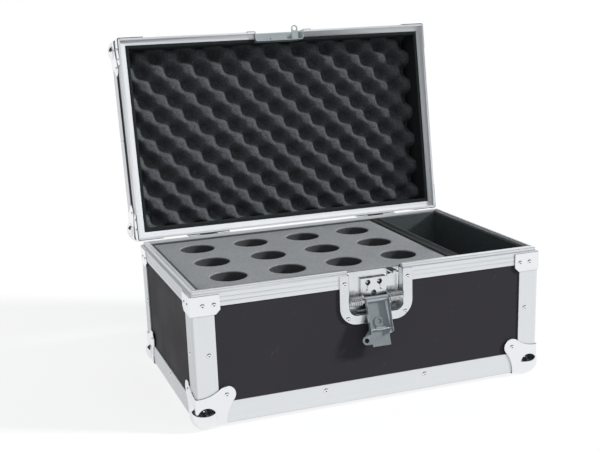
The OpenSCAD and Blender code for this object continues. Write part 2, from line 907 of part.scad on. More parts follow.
// four heads on a dish's flange, its foot at z0
module dish_rivets(z0) {
    out = (dish_w + dish_leg) / 2;
    for (side = [-1, 1]) {
        translate([latch_x + side * out, -dish_sheet, part_z - dish_rivet_drop]) edge_rivet();
        translate([latch_x + side * (out - 4), -dish_sheet, z0 + dish_leg * 0.66]) edge_rivet();
    }
}

module latch_rivets() {
    color(c_chrome) {
        dish_rivets(dish_low);
        for (at = base_holes)
            translate([latch_x + at[0], dish_depth, at[1]]) rivet_head(base_hole_r - 0.7, 2.5);
    }
}

module padlock_plate(z0) {
    difference() {
        union() {
            span([tab_x - tab_w / 2, -tab_hole_out, z0], [tab_x + tab_w / 2, dish_depth, z0 + tab_t]);
            translate([tab_x, -tab_hole_out, z0]) cylinder(r = tab_w / 2, h = tab_t);
        }
        translate([tab_x, -tab_hole_out, z0 - 1]) cylinder(r = tab_hole_r, h = tab_t + 2);
    }
}

module padlock_tab() {
    color(c_steel) translate([latch_x, 0, 0]) {
        padlock_plate(tab_top - tab_t);
        span([tab_x - tab_w / 2, dish_depth - tab_t, tab_top - tab_w],
            [tab_x + tab_w / 2, dish_depth, tab_top]);
    }
}

module lid_keeper() {
    z0 = part_z + lid_tab_h;
    x0 = -keeper_w / 2;
    color(c_steel) translate([latch_x, 0, 0]) {
        padlock_plate(z0);
        span([tab_x - tab_w / 2, dish_depth - tab_t, z0], [tab_x + tab_w / 2, dish_depth, z0 + tab_w]);
        span([x0, dish_depth - keeper_t, part_z + keeper_low],
            [-x0, dish_depth, part_z + keeper_low + keeper_h]);
    }
}

// lever frame: origin on the lever pin, lever pointing down, turned to where it rests
module lever_frame() {
    translate([latch_x, pin_at[0], pin_at[1]]) rotate([-lever_lean, 0, 0]) children();
}

// outline across the lever of its right side wall
module lever_wall_outline() {
    t = lever_t;
    a = lever_w / 2;
    b = lever_wall_w / 2;
    polygon([
        [a - t, lever_set], [a + t / 2, lever_set], [b, -t / 2], [b, -lever_wall_n],
        [b - t, -lever_wall_n], [b - t, -t / 2], [a - t / 2, lever_set - t], [a - t, lever_set - t]
    ]);
}

module lever_ears() {
    t = lever_t;
    e = ear_at;
    r = ear_r;
    difference() {
        union() {
            translate([e[0], -e[1]]) circle(r);
            polygon([
                [e[0], -e[1] - r], [-lever_w / 2 + 1, -e[1] - r], [-lever_w / 2 + 1, -e[1] + 2.6 * r],
                [-lever_w / 2, -e[1] + 2.6 * r], [e[0] - r * 0.96, -e[1] + r * 0.3]
            ]);
            translate([ring_at[0], -ring_at[1]]) circle(ring_r);
        }
        translate([e[0], -e[1]]) circle(ear_hole_r);
        intersection() {
            translate([ring_at[0], -ring_at[1]]) circle(ring_r - 1.5);
            translate([lever_wall_w / 2, -2 * ring_at[1]]) square([ring_r, 2 * ring_at[1]]);
        }
    }
}

module latch_lever() {
    t = lever_t;
    s = lever_set;
    end = lever_wall_end;
    color(c_lever) lever_frame() difference() {
        union() {
            span([-lever_w / 2, s - t, -lever_l], [lever_w / 2, s, 0]);
            span([-lever_w / 2, s - t, -lever_l], [lever_w / 2, s + lip_h, -lever_l + t]);
            rod_x(roll_r, -lever_wall_w / 2, lever_wall_w / 2);
            both_x() translate([0, 0, -end]) linear_extrude(end) lever_wall_outline();
            along_y(s - t, s) lever_ears();
        }
        rod_x(pin_r + running_fit, -far / 2, far / 2);
        translate([0, -hook_n, -hook_at]) rod_x(hook_pin_r + running_fit, -far / 2, far / 2);
    }
}

module hook_pin() {
    color(c_chrome) lever_frame() translate([0, -hook_n, -hook_at])
        rod_x(hook_pin_r, -hook_pin_half, hook_pin_half);
}

// hook folded back along the lever towards the lever pin
module latch_hook() {
    color(c_steel) lever_frame() translate([0, -hook_n, -hook_at]) difference() {
        union() {
            rod_x(hook_eye_r, -hook_half, hook_half);
            along_y(hook_eye_r - hook_t, hook_eye_r) difference() {
                union() {
                    translate([-hook_half * 0.7, 0]) square([hook_half * 1.4, hook_reach]);
                    translate([0, hook_reach]) circle(hook_ring_r);
                }
                translate([0, hook_reach + 1]) circle(hook_ring_r * 0.5);
            }
        }
        rod_x(hook_pin_r + running_fit, -far / 2, far / 2);
    }
}

// middle line of one spring: leg on the dish's back, coil, leg on the latch base
spring_steps = 8;
spring_end = dish_depth - pin_back;
spring_in = base_w / 2 + 2;
spring_count = (spring_turns + 0.75) * spring_steps;
spring_out = spring_in + coil_pitch * (spring_turns + 0.75);
function coil_point(k) = [
    spring_out - coil_pitch * k / spring_steps,
    coil_r * cos(270 - 360 * k / spring_steps),
    coil_r * sin(270 - 360 * k / spring_steps)
];
spring_path = concat(
    [for (y = [spring_end, spring_end - 2 * wire_r, coil_r / 2]) [spring_out, y, -coil_r]],
    [for (k = [0:spring_count]) coil_point(k)],
    [for (x = [spring_in - 0.6, base_w / 2 + 2 * wire_r, base_w / 2])
        [x, coil_r, max(x, base_w / 2 + 2 * wire_r) - spring_in - 0.2]]
);

// least gap between two places of a path more than skip points apart
function path_gap(path, r, skip) = min([
    for (i = [0:len(path) - 1 - skip], j = [i + skip:len(path) - 1]) norm(path[i] - path[j]) - 2 * r
]);

function unit(v) = v / norm(v);

// unbroken tube of n sides along a list of points
module tube(path, r, n) {
    last = len(path) - 1;
    steps = [for (k = [0:last - 1]) unit(path[k + 1] - path[k])];
    dirs = [for (k = [0:last]) unit(steps[max(k - 1, 0)] + steps[min(k, last - 1)])];
    rings = [for (k = [0:last]) let (
        u = unit(cross(dirs[k], [1, 0.3, 0.2])),
        v = cross(dirs[k], u)
    ) [for (m = [0:n - 1]) path[k] + r * (cos(360 * m / n) * u + sin(360 * m / n) * v)]];
    sides = [for (k = [0:last - 1], m = [0:n - 1], half = [0, 1])
        half == 0 ? [k * n + m, k * n + (m + 1) % n, (k + 1) * n + (m + 1) % n]
            : [k * n + m, (k + 1) * n + (m + 1) % n, (k + 1) * n + m]];
    polyhedron(points = [for (ring = rings, p = ring) p], faces = concat(
        [[for (m = [0:n - 1]) m]],
        [for (f = sides) [f[2], f[1], f[0]]],
        [[for (m = [n - 1:-1:0]) last * n + m]]
    ));
}

module latch_springs() {
    color(c_chrome) translate([latch_x, pin_at[0], pin_at[1]]) both_x() tube(spring_path, wire_r, 6);
}

// ---- hinges ----

// both hinges, each drawn about its own pin
module hinge_places() {
    both_x() translate([hinge_x, hinge_pin[0], hinge_pin[1]]) children();
}

// 2D in Y and Z drawn over the two outer knuckles
module outer_knuckles() {
    x0 = knuckle_half + knuckle_gap;
    x1 = hinge_w / 2;
    both_x() translate([(x0 + x1) / 2, 0, 0]) along_x(x1 - x0) children();
}

// stop lip from r0 outwards, on the lid side or the body side of the face where they meet
module stop_lip(r0, lid) {
    translate([r0, lid ? 0 : -web_t]) square([stop_r - r0, web_t]);
}

module hinge_body_leaves() {
    y = -hinge_back;
    color(c_steel) hinge_places() difference() {
        union() {
            along_x(hinge_w) {
                translate([y, -knuckle_r - body_leaf_h]) square([leaf_t, body_leaf_h + web_t]);
                translate([y - metal_t, -knuckle_r - body_leaf_h])
                    square([metal_t, knuckle_r + body_leaf_h - flange_h + hinge_drop]);
                rotate(stop_angle) stop_lip(knuckle_r + 0.7, false);
            }
            outer_knuckles() {
                circle(knuckle_r);
                translate([y, -knuckle_r]) square([-y, web_t]);
                rotate(stop_angle) stop_lip(0, false);
            }
        }
        rod_x(hinge_pin_r + running_fit, -hinge_w, hinge_w);
    }
}

module hinge_lid_leaves() {
    y = -hinge_back;
    color(c_steel) hinge_places() difference() {
        union() {
            along_x(hinge_w) {
                translate([y, knuckle_r - web_t])
                    square([leaf_t, lid_leaf_h + hinge_drop - knuckle_r + web_t]);
                translate([y - metal_t, lid_flange_h + hinge_drop])
                    square([metal_t, lid_leaf_h - lid_flange_h]);
            }
            along_x(2 * knuckle_half) {
                circle(knuckle_r);
                translate([y, knuckle_r - web_t]) square([-y, web_t]);
                rotate(lid_open + stop_angle) stop_lip(0, true);
            }
        }
        rod_x(hinge_pin_r + running_fit, -hinge_w, hinge_w);
    }
}

module hinge_pins() {
    color(c_chrome) hinge_places() rod_x(hinge_pin_r, -hinge_w / 2, hinge_w / 2);
}

// ---- handle ----

module handle_brackets() {
    color(c_steel) both_x() difference() {
        union() {
            translate([lug_x, case_d / 2, handle_z]) rod_x(lug_r, 0, lug_t);
            span([lug_x, case_d / 2 - lug_r, lid_board_z], [lug_x + lug_t, case_d / 2 + lug_r, handle_z]);
            span([lug_x - rod_r, (case_d - bracket_l) / 2, lid_board_z],
                [lug_x - rod_r + bracket_w, (case_d + bracket_l) / 2, lid_board_z + foot_t]);
        }
        translate([lug_x, case_d / 2, handle_z]) rod_x(stub_r + running_fit, -1, lug_t + 1);
    }
}

// handle frame: origin on its pivot in the shut lid, arms towards the hinges, turned to hang
module handle_frame() {
    translate([0, case_d / 2, handle_z]) rotate([handle_rest, 0, 0]) children();
}

module handle_bail() {
    half = handle_span / 2;
    color(c_steel) handle_frame() {
        both_x() {
            rotate([-90, 0, 0]) translate([half, 0, 0]) cylinder(r = rod_r, h = arm_l);
            for (y = [0, arm_l]) translate([half, y, 0]) sphere(rod_r);
            rod_x(stub_r, half, lug_x + lug_t + 0.5);
        }
        translate([0, arm_l, 0]) rod_x(rod_r, -half, half);
    }
}

module handle_grip() {
    edge = 1.5;
    half = grip_l / 2;
    color(c_grip) handle_frame() translate([0, arm_l, 0]) difference() {
        union() {
            rod_x(grip_r, -half + edge, half - edge);
            both_x() translate([half - edge, 0, 0]) rotate([0, 90, 0])
                cylinder(r1 = grip_r, r2 = grip_r - edge, h = edge);
        }
        rod_x(rod_r + running_fit, -half - 1, half + 1);
    }
}

// ---- pieces placed more than once ----

module body_corner_angle() {
    corner_angle(low + ball_in, part_z - flange_h);
}

module body_ball() {
    translate([0, 0, low]) ball_corner(true);
}

module lid_ball() {
    translate([0, 0, lid_top]) mirror([0, 0, 1]) ball_corner(false);
}

module body_corner_plate() {
    corner_plate(part_z - corner_plate_gap - corner_plate_h, corner_plate_h, true);
}

module lid_corner_angle() {
    corner_angle(part_z + lid_flange_h, lid_top - ball_in);
}

module lid_corner_plate() {
    corner_plate(part_z + corner_plate_gap, lid_plate_h, false);
}

module lid_board_x() {
    board_x(lid_board_low, lid_board_z);
}

module lid_board_y() {
    board_y(lid_board_low, lid_board_z);
}

module upper_dish() {
    lid_side() dish(lid_pan_low, part_z - lid_flange_h);
}

// bottom edge piece turned over to the lid's outer edge
module lid_flip() {
    translate([0, 0, lid_top + low]) mirror([0, 0, 1]) children();
}

// ---- the pieces ----

in_frame() base_panel();
in_frame() front_panel();
in_frame() at_back() board_x(low + metal_t, part_z - metal_t);  // back_panel
in_frame() board_y(low + metal_t, part_z - metal_t);  // left_panel
in_frame() flip_x(true) board_y(low + metal_t, part_z - metal_t);  // right_panel
in_frame() base_angle_x();  // base_angle_front
in_frame() at_back() base_angle_x();  // base_angle_back
in_frame() base_angle_y();  // base_angle_left
in_frame() flip_x(true) base_angle_y();  // base_angle_right
in_frame() at_corner(false, false) body_corner_angle();  // corner_angle_fl
in_frame() at_corner(true, false) body_corner_angle();  // corner_angle_fr
in_frame() at_corner(false, true) body_corner_angle();  // corner_angle_bl
in_frame() at_corner(true, true) body_corner_angle();  // corner_angle_br
in_frame() rim_x(true);  // rim_front
in_frame() at_back() rim_x(false);  // rim_back
in_frame() rim_y();  // rim_left
in_frame() flip_x(true) rim_y();  // rim_right
in_frame() at_corner(false, false) body_ball();  // ball_corner_fl
in_frame() at_corner(true, false) body_ball();  // ball_corner_fr
in_frame() at_corner(false, true) body_ball();  // ball_corner_bl
in_frame() at_corner(true, true) body_ball();  // ball_corner_br
in_frame() each_corner() body_corner_plate();  // rim_corner_plates
in_frame() body_rivets();
in_frame() body_liner();
in_frame() microphone_foam();
in_frame() divider();
in_frame() dish(dish_open_low, part_z - flange_h);  // latch_dish
in_frame() latch_base();
in_frame() lever_pin();
in_frame() latch_springs();
in_frame() padlock_tab();
in_frame() latch_rivets();
in_frame() hinge_body_leaves();
in_frame() hinge_pins();
in_frame() latch_lever();
in_frame() hook_pin();
in_frame() latch_hook();
in_frame() open_lid() lid_panel();
in_frame() open_lid() lid_front_board();
in_frame() open_lid() at_back() lid_board_x();  // lid_back_board
in_frame() open_lid() both_x() lid_board_y();  // lid_side_boards
in_frame() open_lid() lid_flip() base_angle_x();  // lid_angle_front
in_frame() open_lid() lid_flip() at_back() base_angle_x();  // lid_angle_back
in_frame() open_lid() lid_flip() both_x() base_angle_y();  // lid_side_angles
in_frame() open_lid() each_corner() lid_corner_angle();  // lid_corner_angles
in_frame() open_lid() lid_rim_x(true);  // lid_rim_front
in_frame() open_lid() at_back() lid_rim_x(false);  // lid_rim_back
in_frame() open_lid() both_x() lid_rim_y();  // lid_side_rims
in_frame() open_lid() each_corner() lid_ball();  // lid_ball_corners
in_frame() open_lid() each_corner() lid_corner_plate();  // lid_corner_plates
in_frame() open_lid() lid_rivets();
in_frame() open_lid() convoluted_foam();
in_frame() open_lid() lid_liner();
in_frame() open_lid() upper_dish();  // lid_dish
in_frame() open_lid() lid_keeper();
in_frame() open_lid() hinge_lid_leaves();
in_frame() open_lid() handle_brackets();
in_frame() open_lid() handle_bail();
in_frame() open_lid() handle_grip();

echo(spring_gap = path_gap(spring_path, wire_r, 6));
echo(lever_lean = lever_lean, frame_y = frame_y, part_z = part_z, lid_top = lid_top);
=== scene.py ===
import json
import math
import random
import bmesh
import bpy
from mathutils import Matrix, Vector, noise


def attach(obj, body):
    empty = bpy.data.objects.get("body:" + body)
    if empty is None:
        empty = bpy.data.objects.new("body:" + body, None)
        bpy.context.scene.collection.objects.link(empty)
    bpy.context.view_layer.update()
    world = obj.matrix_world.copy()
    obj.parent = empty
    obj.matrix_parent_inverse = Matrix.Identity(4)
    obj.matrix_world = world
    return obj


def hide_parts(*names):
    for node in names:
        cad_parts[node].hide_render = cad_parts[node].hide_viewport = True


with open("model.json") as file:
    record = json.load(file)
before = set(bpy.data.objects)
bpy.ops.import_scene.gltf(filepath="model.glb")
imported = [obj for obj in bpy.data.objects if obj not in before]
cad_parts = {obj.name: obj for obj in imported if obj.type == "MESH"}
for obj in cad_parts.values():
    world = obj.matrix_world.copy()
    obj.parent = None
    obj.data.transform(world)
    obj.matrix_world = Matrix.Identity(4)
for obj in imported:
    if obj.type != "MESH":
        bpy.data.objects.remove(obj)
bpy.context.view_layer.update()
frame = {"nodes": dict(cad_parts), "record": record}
nodes = frame["nodes"]
bodyOf = {n: b for b, members in frame["record"]["behaviour"]["bodies"].items() for n in members}
mm = 0.001

# the case in millimetres: X from its middle, Y from its front face, Z from the floor
case = {"partingZ": 183.0, "frontY": -206.445498, "hingeY": 306.5, "hingeZ": 181.5,
        "lidOpenDegrees": 99.0, "latchX": 2.0}
toRow = Matrix.Scale(mm, 4) @ Matrix.Translation((0, case["frontY"], 0))
hingePin = Matrix.Translation((0, case["hingeY"], case["hingeZ"]))
lidTurn = Matrix.Rotation(math.radians(-case["lidOpenDegrees"]), 4, "X")
openLid = hingePin @ lidTurn @ hingePin.inverted()
lidToRow = toRow @ openLid


# ---- node helpers ----
def put(tree, kind, values=None, **settings):
    node = tree.nodes.new(kind)
    for key, value in settings.items():
        setattr(node, key, value)
    for key, value in (values or {}).items():
        if isinstance(value, bpy.types.NodeSocket):
            tree.links.new(value, node.inputs[key])
        else:
            node.inputs[key].default_value = value
    return node


def calc(tree, operation, a, b=None, c=None, clamp=False):
    values = {i: v for i, v in enumerate((a, b, c)) if v is not None}
    kind = "ShaderNodeMath"
    return put(tree, kind, values, operation=operation, use_clamp=clamp).outputs[0]


def remap(tree, value, low, high, newLow=0.0, newHigh=1.0):
    values = {"Value": value, "From Min": low, "From Max": high, "To Min": newLow, "To Max": newHigh}
    return put(tree, "ShaderNodeMapRange", values, interpolation_type="SMOOTHSTEP").outputs[0]


def blendColour(tree, share, a, b):
    return put(tree, "ShaderNodeMix", {0: share, 6: a, 7: b}, data_type="RGBA").outputs[2]


def noiseAt(tree, vector, scale, detail=3.0, roughness=0.5):
    values = {"Vector": vector, "Scale": scale, "Detail": detail, "Roughness": roughness}
    return put(tree, "ShaderNodeTexNoise", values).outputs["Fac"]


def stretched(tree, vector, factors):
    return put(tree, "ShaderNodeVectorMath", {0: vector, 1: factors}, operation="MULTIPLY").outputs[0]


def newTree(name, kind, inputs, outputs):
    tree = bpy.data.node_groups.new(name, kind)
    for label, socketKind, value in inputs:
        socket = tree.interface.new_socket(label, in_out="INPUT", socket_type=socketKind)
        if value is not None:
            socket.default_value = value
    for label, socketKind in outputs:
        tree.interface.new_socket(label, in_out="OUTPUT", socket_type=socketKind)
    return tree, tree.nodes.new("NodeGroupInput").outputs, tree.nodes.new("NodeGroupOutput").inputs


# ---- effects that several finishes share ----
floatKind, vectorKind = "NodeSocketFloat", "NodeSocketVector"


def makeRollingGrain():
    # fine lines along X, as an extrusion or a rolled sheet has
    tree, given, made = newTree("rollingGrain", "ShaderNodeTree",
                                [("Vector", vectorKind, None), ("Lines Per Metre", floatKind, 900.0)],
                                [("Streak", floatKind), ("Height", floatKind)])
    across = given["Lines Per Metre"]
    scale = put(tree, "ShaderNodeCombineXYZ", {0: 3.0, 1: across, 2: across}).outputs[0]
    lines = noiseAt(tree, stretched(tree, given["Vector"], scale), 1.0, 2.0)
    wide = calc(tree, "MULTIPLY", across, 0.3)
    wideScale = put(tree, "ShaderNodeCombineXYZ", {0: 1.2, 1: wide, 2: wide}).outputs[0]
    bands = noiseAt(tree, stretched(tree, given["Vector"], wideScale), 1.0, 1.0)
    tree.links.new(calc(tree, "MULTIPLY_ADD", lines, 0.7, calc(tree, "MULTIPLY", bands, 0.3)), made["Streak"])
    tree.links.new(lines, made["Height"])
    return tree


def makeHandling():
    # smudges, dull patches and thin scratches from use
    tree, given, made = newTree("handlingMarks", "ShaderNodeTree",
                                [("Vector", vectorKind, None), ("Patch Scale", floatKind, 14.0),
                                 ("Scratch Scale", floatKind, 60.0)],
                                [("Smudge", floatKind), ("Scratch", floatKind)])
    patches = noiseAt(tree, given["Vector"], given["Patch Scale"], 4.0, 0.6)
    tree.links.new(remap(tree, patches, 0.38, 0.68), made["Smudge"])
    scratches = []
    for turn in ((0.4, 0.9, 0.2), (-0.7, 0.3, 1.1)):
        turned = put(tree, "ShaderNodeMapping", {"Vector": given["Vector"], "Rotation": turn}).outputs[0]
        thin = noiseAt(tree, stretched(tree, turned, (0.35, 14.0, 14.0)), given["Scratch Scale"], 1.0)
        scratches.append(remap(tree, thin, 0.71, 0.76))
    both = calc(tree, "MAXIMUM", *scratches)
    broken = remap(tree, noiseAt(tree, given["Vector"], 30.0, 2.0), 0.5, 0.62)
    tree.links.new(calc(tree, "MULTIPLY", both, broken), made["Scratch"])
    return tree


def makeOpenCells():
    # pores of cut open-cell foam
    tree, given, made = newTree("openCells", "ShaderNodeTree",
                                [("Vector", vectorKind, None), ("Cells Per Metre", floatKind, 700.0)],
                                [("Speckle", floatKind), ("Height", floatKind), ("Cloud", floatKind)])
    cells = put(tree, "ShaderNodeTexVoronoi", {"Vector": given["Vector"], "Scale": given["Cells Per Metre"]})
    grains = noiseAt(tree, given["Vector"], given["Cells Per Metre"], 3.0, 0.7)
    tone = put(tree, "ShaderNodeSeparateColor", {0: cells.outputs["Color"]}).outputs[0]
    fineShare = calc(tree, "MULTIPLY", grains, 0.55)
    tree.links.new(calc(tree, "MULTIPLY_ADD", tone, 0.45, fineShare), made["Speckle"])
    tree.links.new(calc(tree, "ADD", cells.outputs["Distance"], grains), made["Height"])
    tree.links.new(noiseAt(tree, given["Vector"], 22.0, 4.0, 0.6), made["Cloud"])
    return tree


rollingGrain = makeRollingGrain()
handlingMarks = makeHandling()
openCells = makeOpenCells()


# ---- finishes ----
def newMaterial(name, turn=(0.0, 0.0, 0.0)):
    material = bpy.data.materials.new(name)
    material.use_nodes = True
    tree = material.node_tree
    tree.nodes.clear()
    shader = put(tree, "ShaderNodeBsdfPrincipled")
    output = put(tree, "ShaderNodeOutputMaterial")
    tree.links.new(shader.outputs[0], output.inputs[0])
    coordinates = put(tree, "ShaderNodeTexCoord").outputs["Object"]
    mapped = put(tree, "ShaderNodeMapping", {"Vector": coordinates, "Rotation": turn}, vector_type="TEXTURE")
    return material, tree, shader, mapped.outputs[0]


def groupNode(tree, group, values):
    node = put(tree, "ShaderNodeGroup", node_tree=group)
    for key, value in values.items():
        if isinstance(value, bpy.types.NodeSocket):
            tree.links.new(value, node.inputs[key])
        else:
            node.inputs[key].default_value = value
    return node.outputs


def shade(colour, factor):
    return (colour[0] * factor, colour[1] * factor, colour[2] * factor, 1.0)


def metalFinish(name, look, turn=(0.0, 0.0, 0.0)):
    material, tree, shader, place = newMaterial(name, turn)
    grain = groupNode(tree, rollingGrain, {"Vector": place, "Lines Per Metre": look["linesPerMetre"]})
    marks = groupNode(tree, handlingMarks, {"Vector": place, "Patch Scale": look["patchScale"]})
    streaked = blendColour(tree, grain["Streak"], shade(look["colour"], look["dark"]),
                           shade(look["colour"], 1.0))
    worn = blendColour(tree, calc(tree, "MULTIPLY", marks["Scratch"], look["scratch"]), streaked,
                       shade(look["colour"], look["scratchTone"]))
    # painted shade: the base colour is darkened towards a quarter of its tone where ambient occlusion finds
    # nearby surfaces, in creases, steps and contacts between parts
    reach = {"Distance": look["creviceShadeReach"] * mm}
    closeness = put(tree, "ShaderNodeAmbientOcclusion", reach, samples=8).outputs["AO"]
    grime = calc(tree, "MULTIPLY", remap(tree, closeness, 0.75, 0.35), look["grime"])
    tree.links.new(blendColour(tree, grime, worn, shade(look["colour"], 0.25)), shader.inputs["Base Color"])
    rough = calc(tree, "MULTIPLY_ADD", grain["Streak"], look["grainRough"], look["roughness"])
    rough = calc(tree, "MULTIPLY_ADD", marks["Smudge"], look["smudgeRough"], rough)
    tree.links.new(rough, shader.inputs["Roughness"])
    bump = put(tree, "ShaderNodeBump",
               {"Strength": look["bump"], "Distance": 0.0002, "Height": grain["Height"]})
    tree.links.new(bump.outputs[0], shader.inputs["Normal"])
    shader.inputs["Metallic"].default_value = look["metallic"]
    return material


def boardFinish(name, look):
    material, tree, shader, place = newMaterial(name)
    texture = noiseAt(tree, place, look["textureScale"], 3.0, 0.6)
    cloud = noiseAt(tree, place, 9.0, 3.0)
    marks = groupNode(tree, handlingMarks, {"Vector": place, "Patch Scale": 8.0, "Scratch Scale": 40.0})
    base = blendColour(tree, calc(tree, "MULTIPLY_ADD", texture, 0.6, calc(tree, "MULTIPLY", cloud, 0.4)),
                       shade(look["colour"], 0.8), shade(look["colour"], 1.2))
    scuffed = blendColour(tree, calc(tree, "MULTIPLY", marks["Scratch"], look["scuff"]), base,
                          shade(look["colour"], 3.0))
    tree.links.new(scuffed, shader.inputs["Base Color"])
    rough = calc(tree, "MULTIPLY_ADD", marks["Smudge"], -0.08, look["roughness"])
    tree.links.new(rough, shader.inputs["Roughness"])
    bump = put(tree, "ShaderNodeBump", {"Strength": look["bump"], "Distance": 0.0002, "Height": texture})
    tree.links.new(bump.outputs[0], shader.inputs["Normal"])
    shader.inputs["Specular IOR Level"].default_value = look["specular"]
    return material


def foamFinish(name, look):
    material, tree, shader, place = newMaterial(name)
    cells = groupNode(tree, openCells, {"Vector": place, "Cells Per Metre": look["cellsPerMetre"]})
    speckled = blendColour(tree, remap(tree, cells["Speckle"], 0.3, 0.72),
                           shade(look["colour"], look["pore"]), shade(look["colour"], look["fleck"]))
    cloudy = blendColour(tree, calc(tree, "MULTIPLY", remap(tree, cells["Cloud"], 0.35, 0.7), look["cloud"]),
                         speckled, shade(look["colour"], 0.75))
    # painted shade: the colour is darkened below the top of the foam, so the walls of the holes look unlit
    height = put(tree, "ShaderNodeSeparateXYZ", {0: place}).outputs[2]
    holeShadeMask = calc(tree, "MULTIPLY", remap(tree, height, look["holeShadeFrom"], look["holeShadeTo"]), look["soil"])
    darkened = blendColour(tree, holeShadeMask, cloudy, shade(look["colour"], 0.0))
    tree.links.new(darkened, shader.inputs["Base Color"])
    tree.links.new(remap(tree, cells["Speckle"], 0.2, 0.8, 0.85, 1.0), shader.inputs["Roughness"])
    bump = put(tree, "ShaderNodeBump",
               {"Strength": look["bump"], "Distance": 0.0008, "Height": cells["Height"]})
    tree.links.new(bump.outputs[0], shader.inputs["Normal"])
    shader.inputs["Specular IOR Level"].default_value = look["specular"]
    shader.inputs["Sheen Weight"].default_value = look["sheen"]
    shader.inputs["Sheen Roughness"].default_value = 0.6
    return material


# in each metal look the last two values give the strength of the painted crevice shade and its reach in
# millimetres
aluminiumLook = {"colour": (0.77, 0.79, 0.81), "dark": 0.90, "roughness": 0.3, "grainRough": 0.04,
                 "smudgeRough": 0.04, "bump": 0.06, "linesPerMetre": 1800.0, "patchScale": 16.0,
                 "scratch": 0.2, "scratchTone": 0.75, "metallic": 0.5, "grime": 0.8, "creviceShadeReach": 2.5}
# painted light: the lid rims get a lighter, less metallic copy of the same aluminium, standing in for the
# bright reflections they lack
lidRimLitLook = {"colour": (0.80, 0.82, 0.84), "dark": 0.92, "roughness": 0.3, "grainRough": 0.04,
              "smudgeRough": 0.04, "bump": 0.06, "linesPerMetre": 1800.0, "patchScale": 16.0,
              "scratch": 0.2, "scratchTone": 0.75, "metallic": 0.3, "grime": 0.8, "creviceShadeReach": 2.5}
chromeLook = {"colour": (0.84, 0.85, 0.87), "dark": 0.97, "roughness": 0.07, "grainRough": 0.03,
              "smudgeRough": 0.07, "bump": 0.02, "linesPerMetre": 500.0, "patchScale": 40.0,
              "scratch": 0.3, "scratchTone": 0.7, "metallic": 1.0, "grime": 0.6, "creviceShadeReach": 1.5}
zincLook = {"colour": (0.74, 0.76, 0.78), "dark": 0.92, "roughness": 0.17, "grainRough": 0.06,
            "smudgeRough": 0.08, "bump": 0.05, "linesPerMetre": 700.0, "patchScale": 50.0,
            "scratch": 0.35, "scratchTone": 0.7, "metallic": 1.0, "grime": 0.7, "creviceShadeReach": 2.0}
lidDishLook = {"colour": (0.50, 0.55, 0.56), "dark": 0.92, "roughness": 0.25, "grainRough": 0.06,
               "smudgeRough": 0.08, "bump": 0.05, "linesPerMetre": 700.0, "patchScale": 50.0,
               "scratch": 0.35, "scratchTone": 0.75, "metallic": 0.35, "grime": 0.7, "creviceShadeReach": 2.0}
leverLook = {"colour": (0.45, 0.50, 0.53), "dark": 0.9, "roughness": 0.22, "grainRough": 0.08,
             "smudgeRough": 0.10, "bump": 0.06, "linesPerMetre": 900.0, "patchScale": 60.0,
             "scratch": 0.4, "scratchTone": 1.3, "metallic": 0.6, "grime": 0.6, "creviceShadeReach": 2.0}
wireLook = {"colour": (0.86, 0.87, 0.88), "dark": 0.85, "roughness": 0.16, "grainRough": 0.1,
            "smudgeRough": 0.05, "bump": 0.05, "linesPerMetre": 2500.0, "patchScale": 80.0,
            "scratch": 0.2, "scratchTone": 0.7, "metallic": 0.8, "grime": 0.6, "creviceShadeReach": 1.0}
laminateLook = {"colour": (0.036, 0.034, 0.039), "textureScale": 1400.0, "roughness": 0.55, "bump": 0.25,
                "specular": 0.05, "scuff": 0.35}
dividerBoardLook = {"colour": (0.02, 0.02, 0.021), "textureScale": 900.0, "roughness": 0.7, "bump": 0.3,
                    "specular": 0.2, "scuff": 0.3}
gripLook = {"colour": (0.015, 0.015, 0.016), "textureScale": 1800.0, "roughness": 0.42, "bump": 0.35,
            "specular": 0.4, "scuff": 0.4}
# in each foam look the last three values give the strength of the painted hole shade and the heights in
# metres between which it sets in
greyFoamLook = {"colour": (0.25, 0.262, 0.268), "cellsPerMetre": 900.0, "pore": 0.82, "fleck": 1.15,
                "cloud": 0.2, "bump": 0.3, "specular": 0.1, "sheen": 0.03, "soil": 0.8, "holeShadeFrom": 0.1834,
                "holeShadeTo": 0.1812}
darkFoamLook = {"colour": (0.060, 0.066, 0.071), "cellsPerMetre": 800.0, "pore": 0.65, "fleck": 1.5,
                "cloud": 0.2, "bump": 0.35, "specular": 0.1, "sheen": 0.06, "soil": 0.0, "holeShadeFrom": 0.0,
                "holeShadeTo": 1.0}
# painted light: the same black lining as in the lid, given about three times its colour so that the deep
# compartments and the divider look lit
litBodyLiningLook = {"colour": (0.062, 0.072, 0.073), "cellsPerMetre": 900.0, "pore": 0.8, "fleck": 1.25,
                  "cloud": 0.2, "bump": 0.25, "specular": 0.05, "sheen": 0.02, "soil": 0.0,
                  "holeShadeFrom": 0.0, "holeShadeTo": 1.0}
liningLook = {"colour": (0.017, 0.021, 0.0215), "cellsPerMetre": 900.0, "pore": 0.8, "fleck": 1.25,
              "cloud": 0.2, "bump": 0.25, "specular": 0.08, "sheen": 0.02, "soil": 0.0, "holeShadeFrom": 0.0,
              "holeShadeTo": 1.0}


def eulerOf(matrix):
    return tuple(matrix.to_euler("XYZ"))


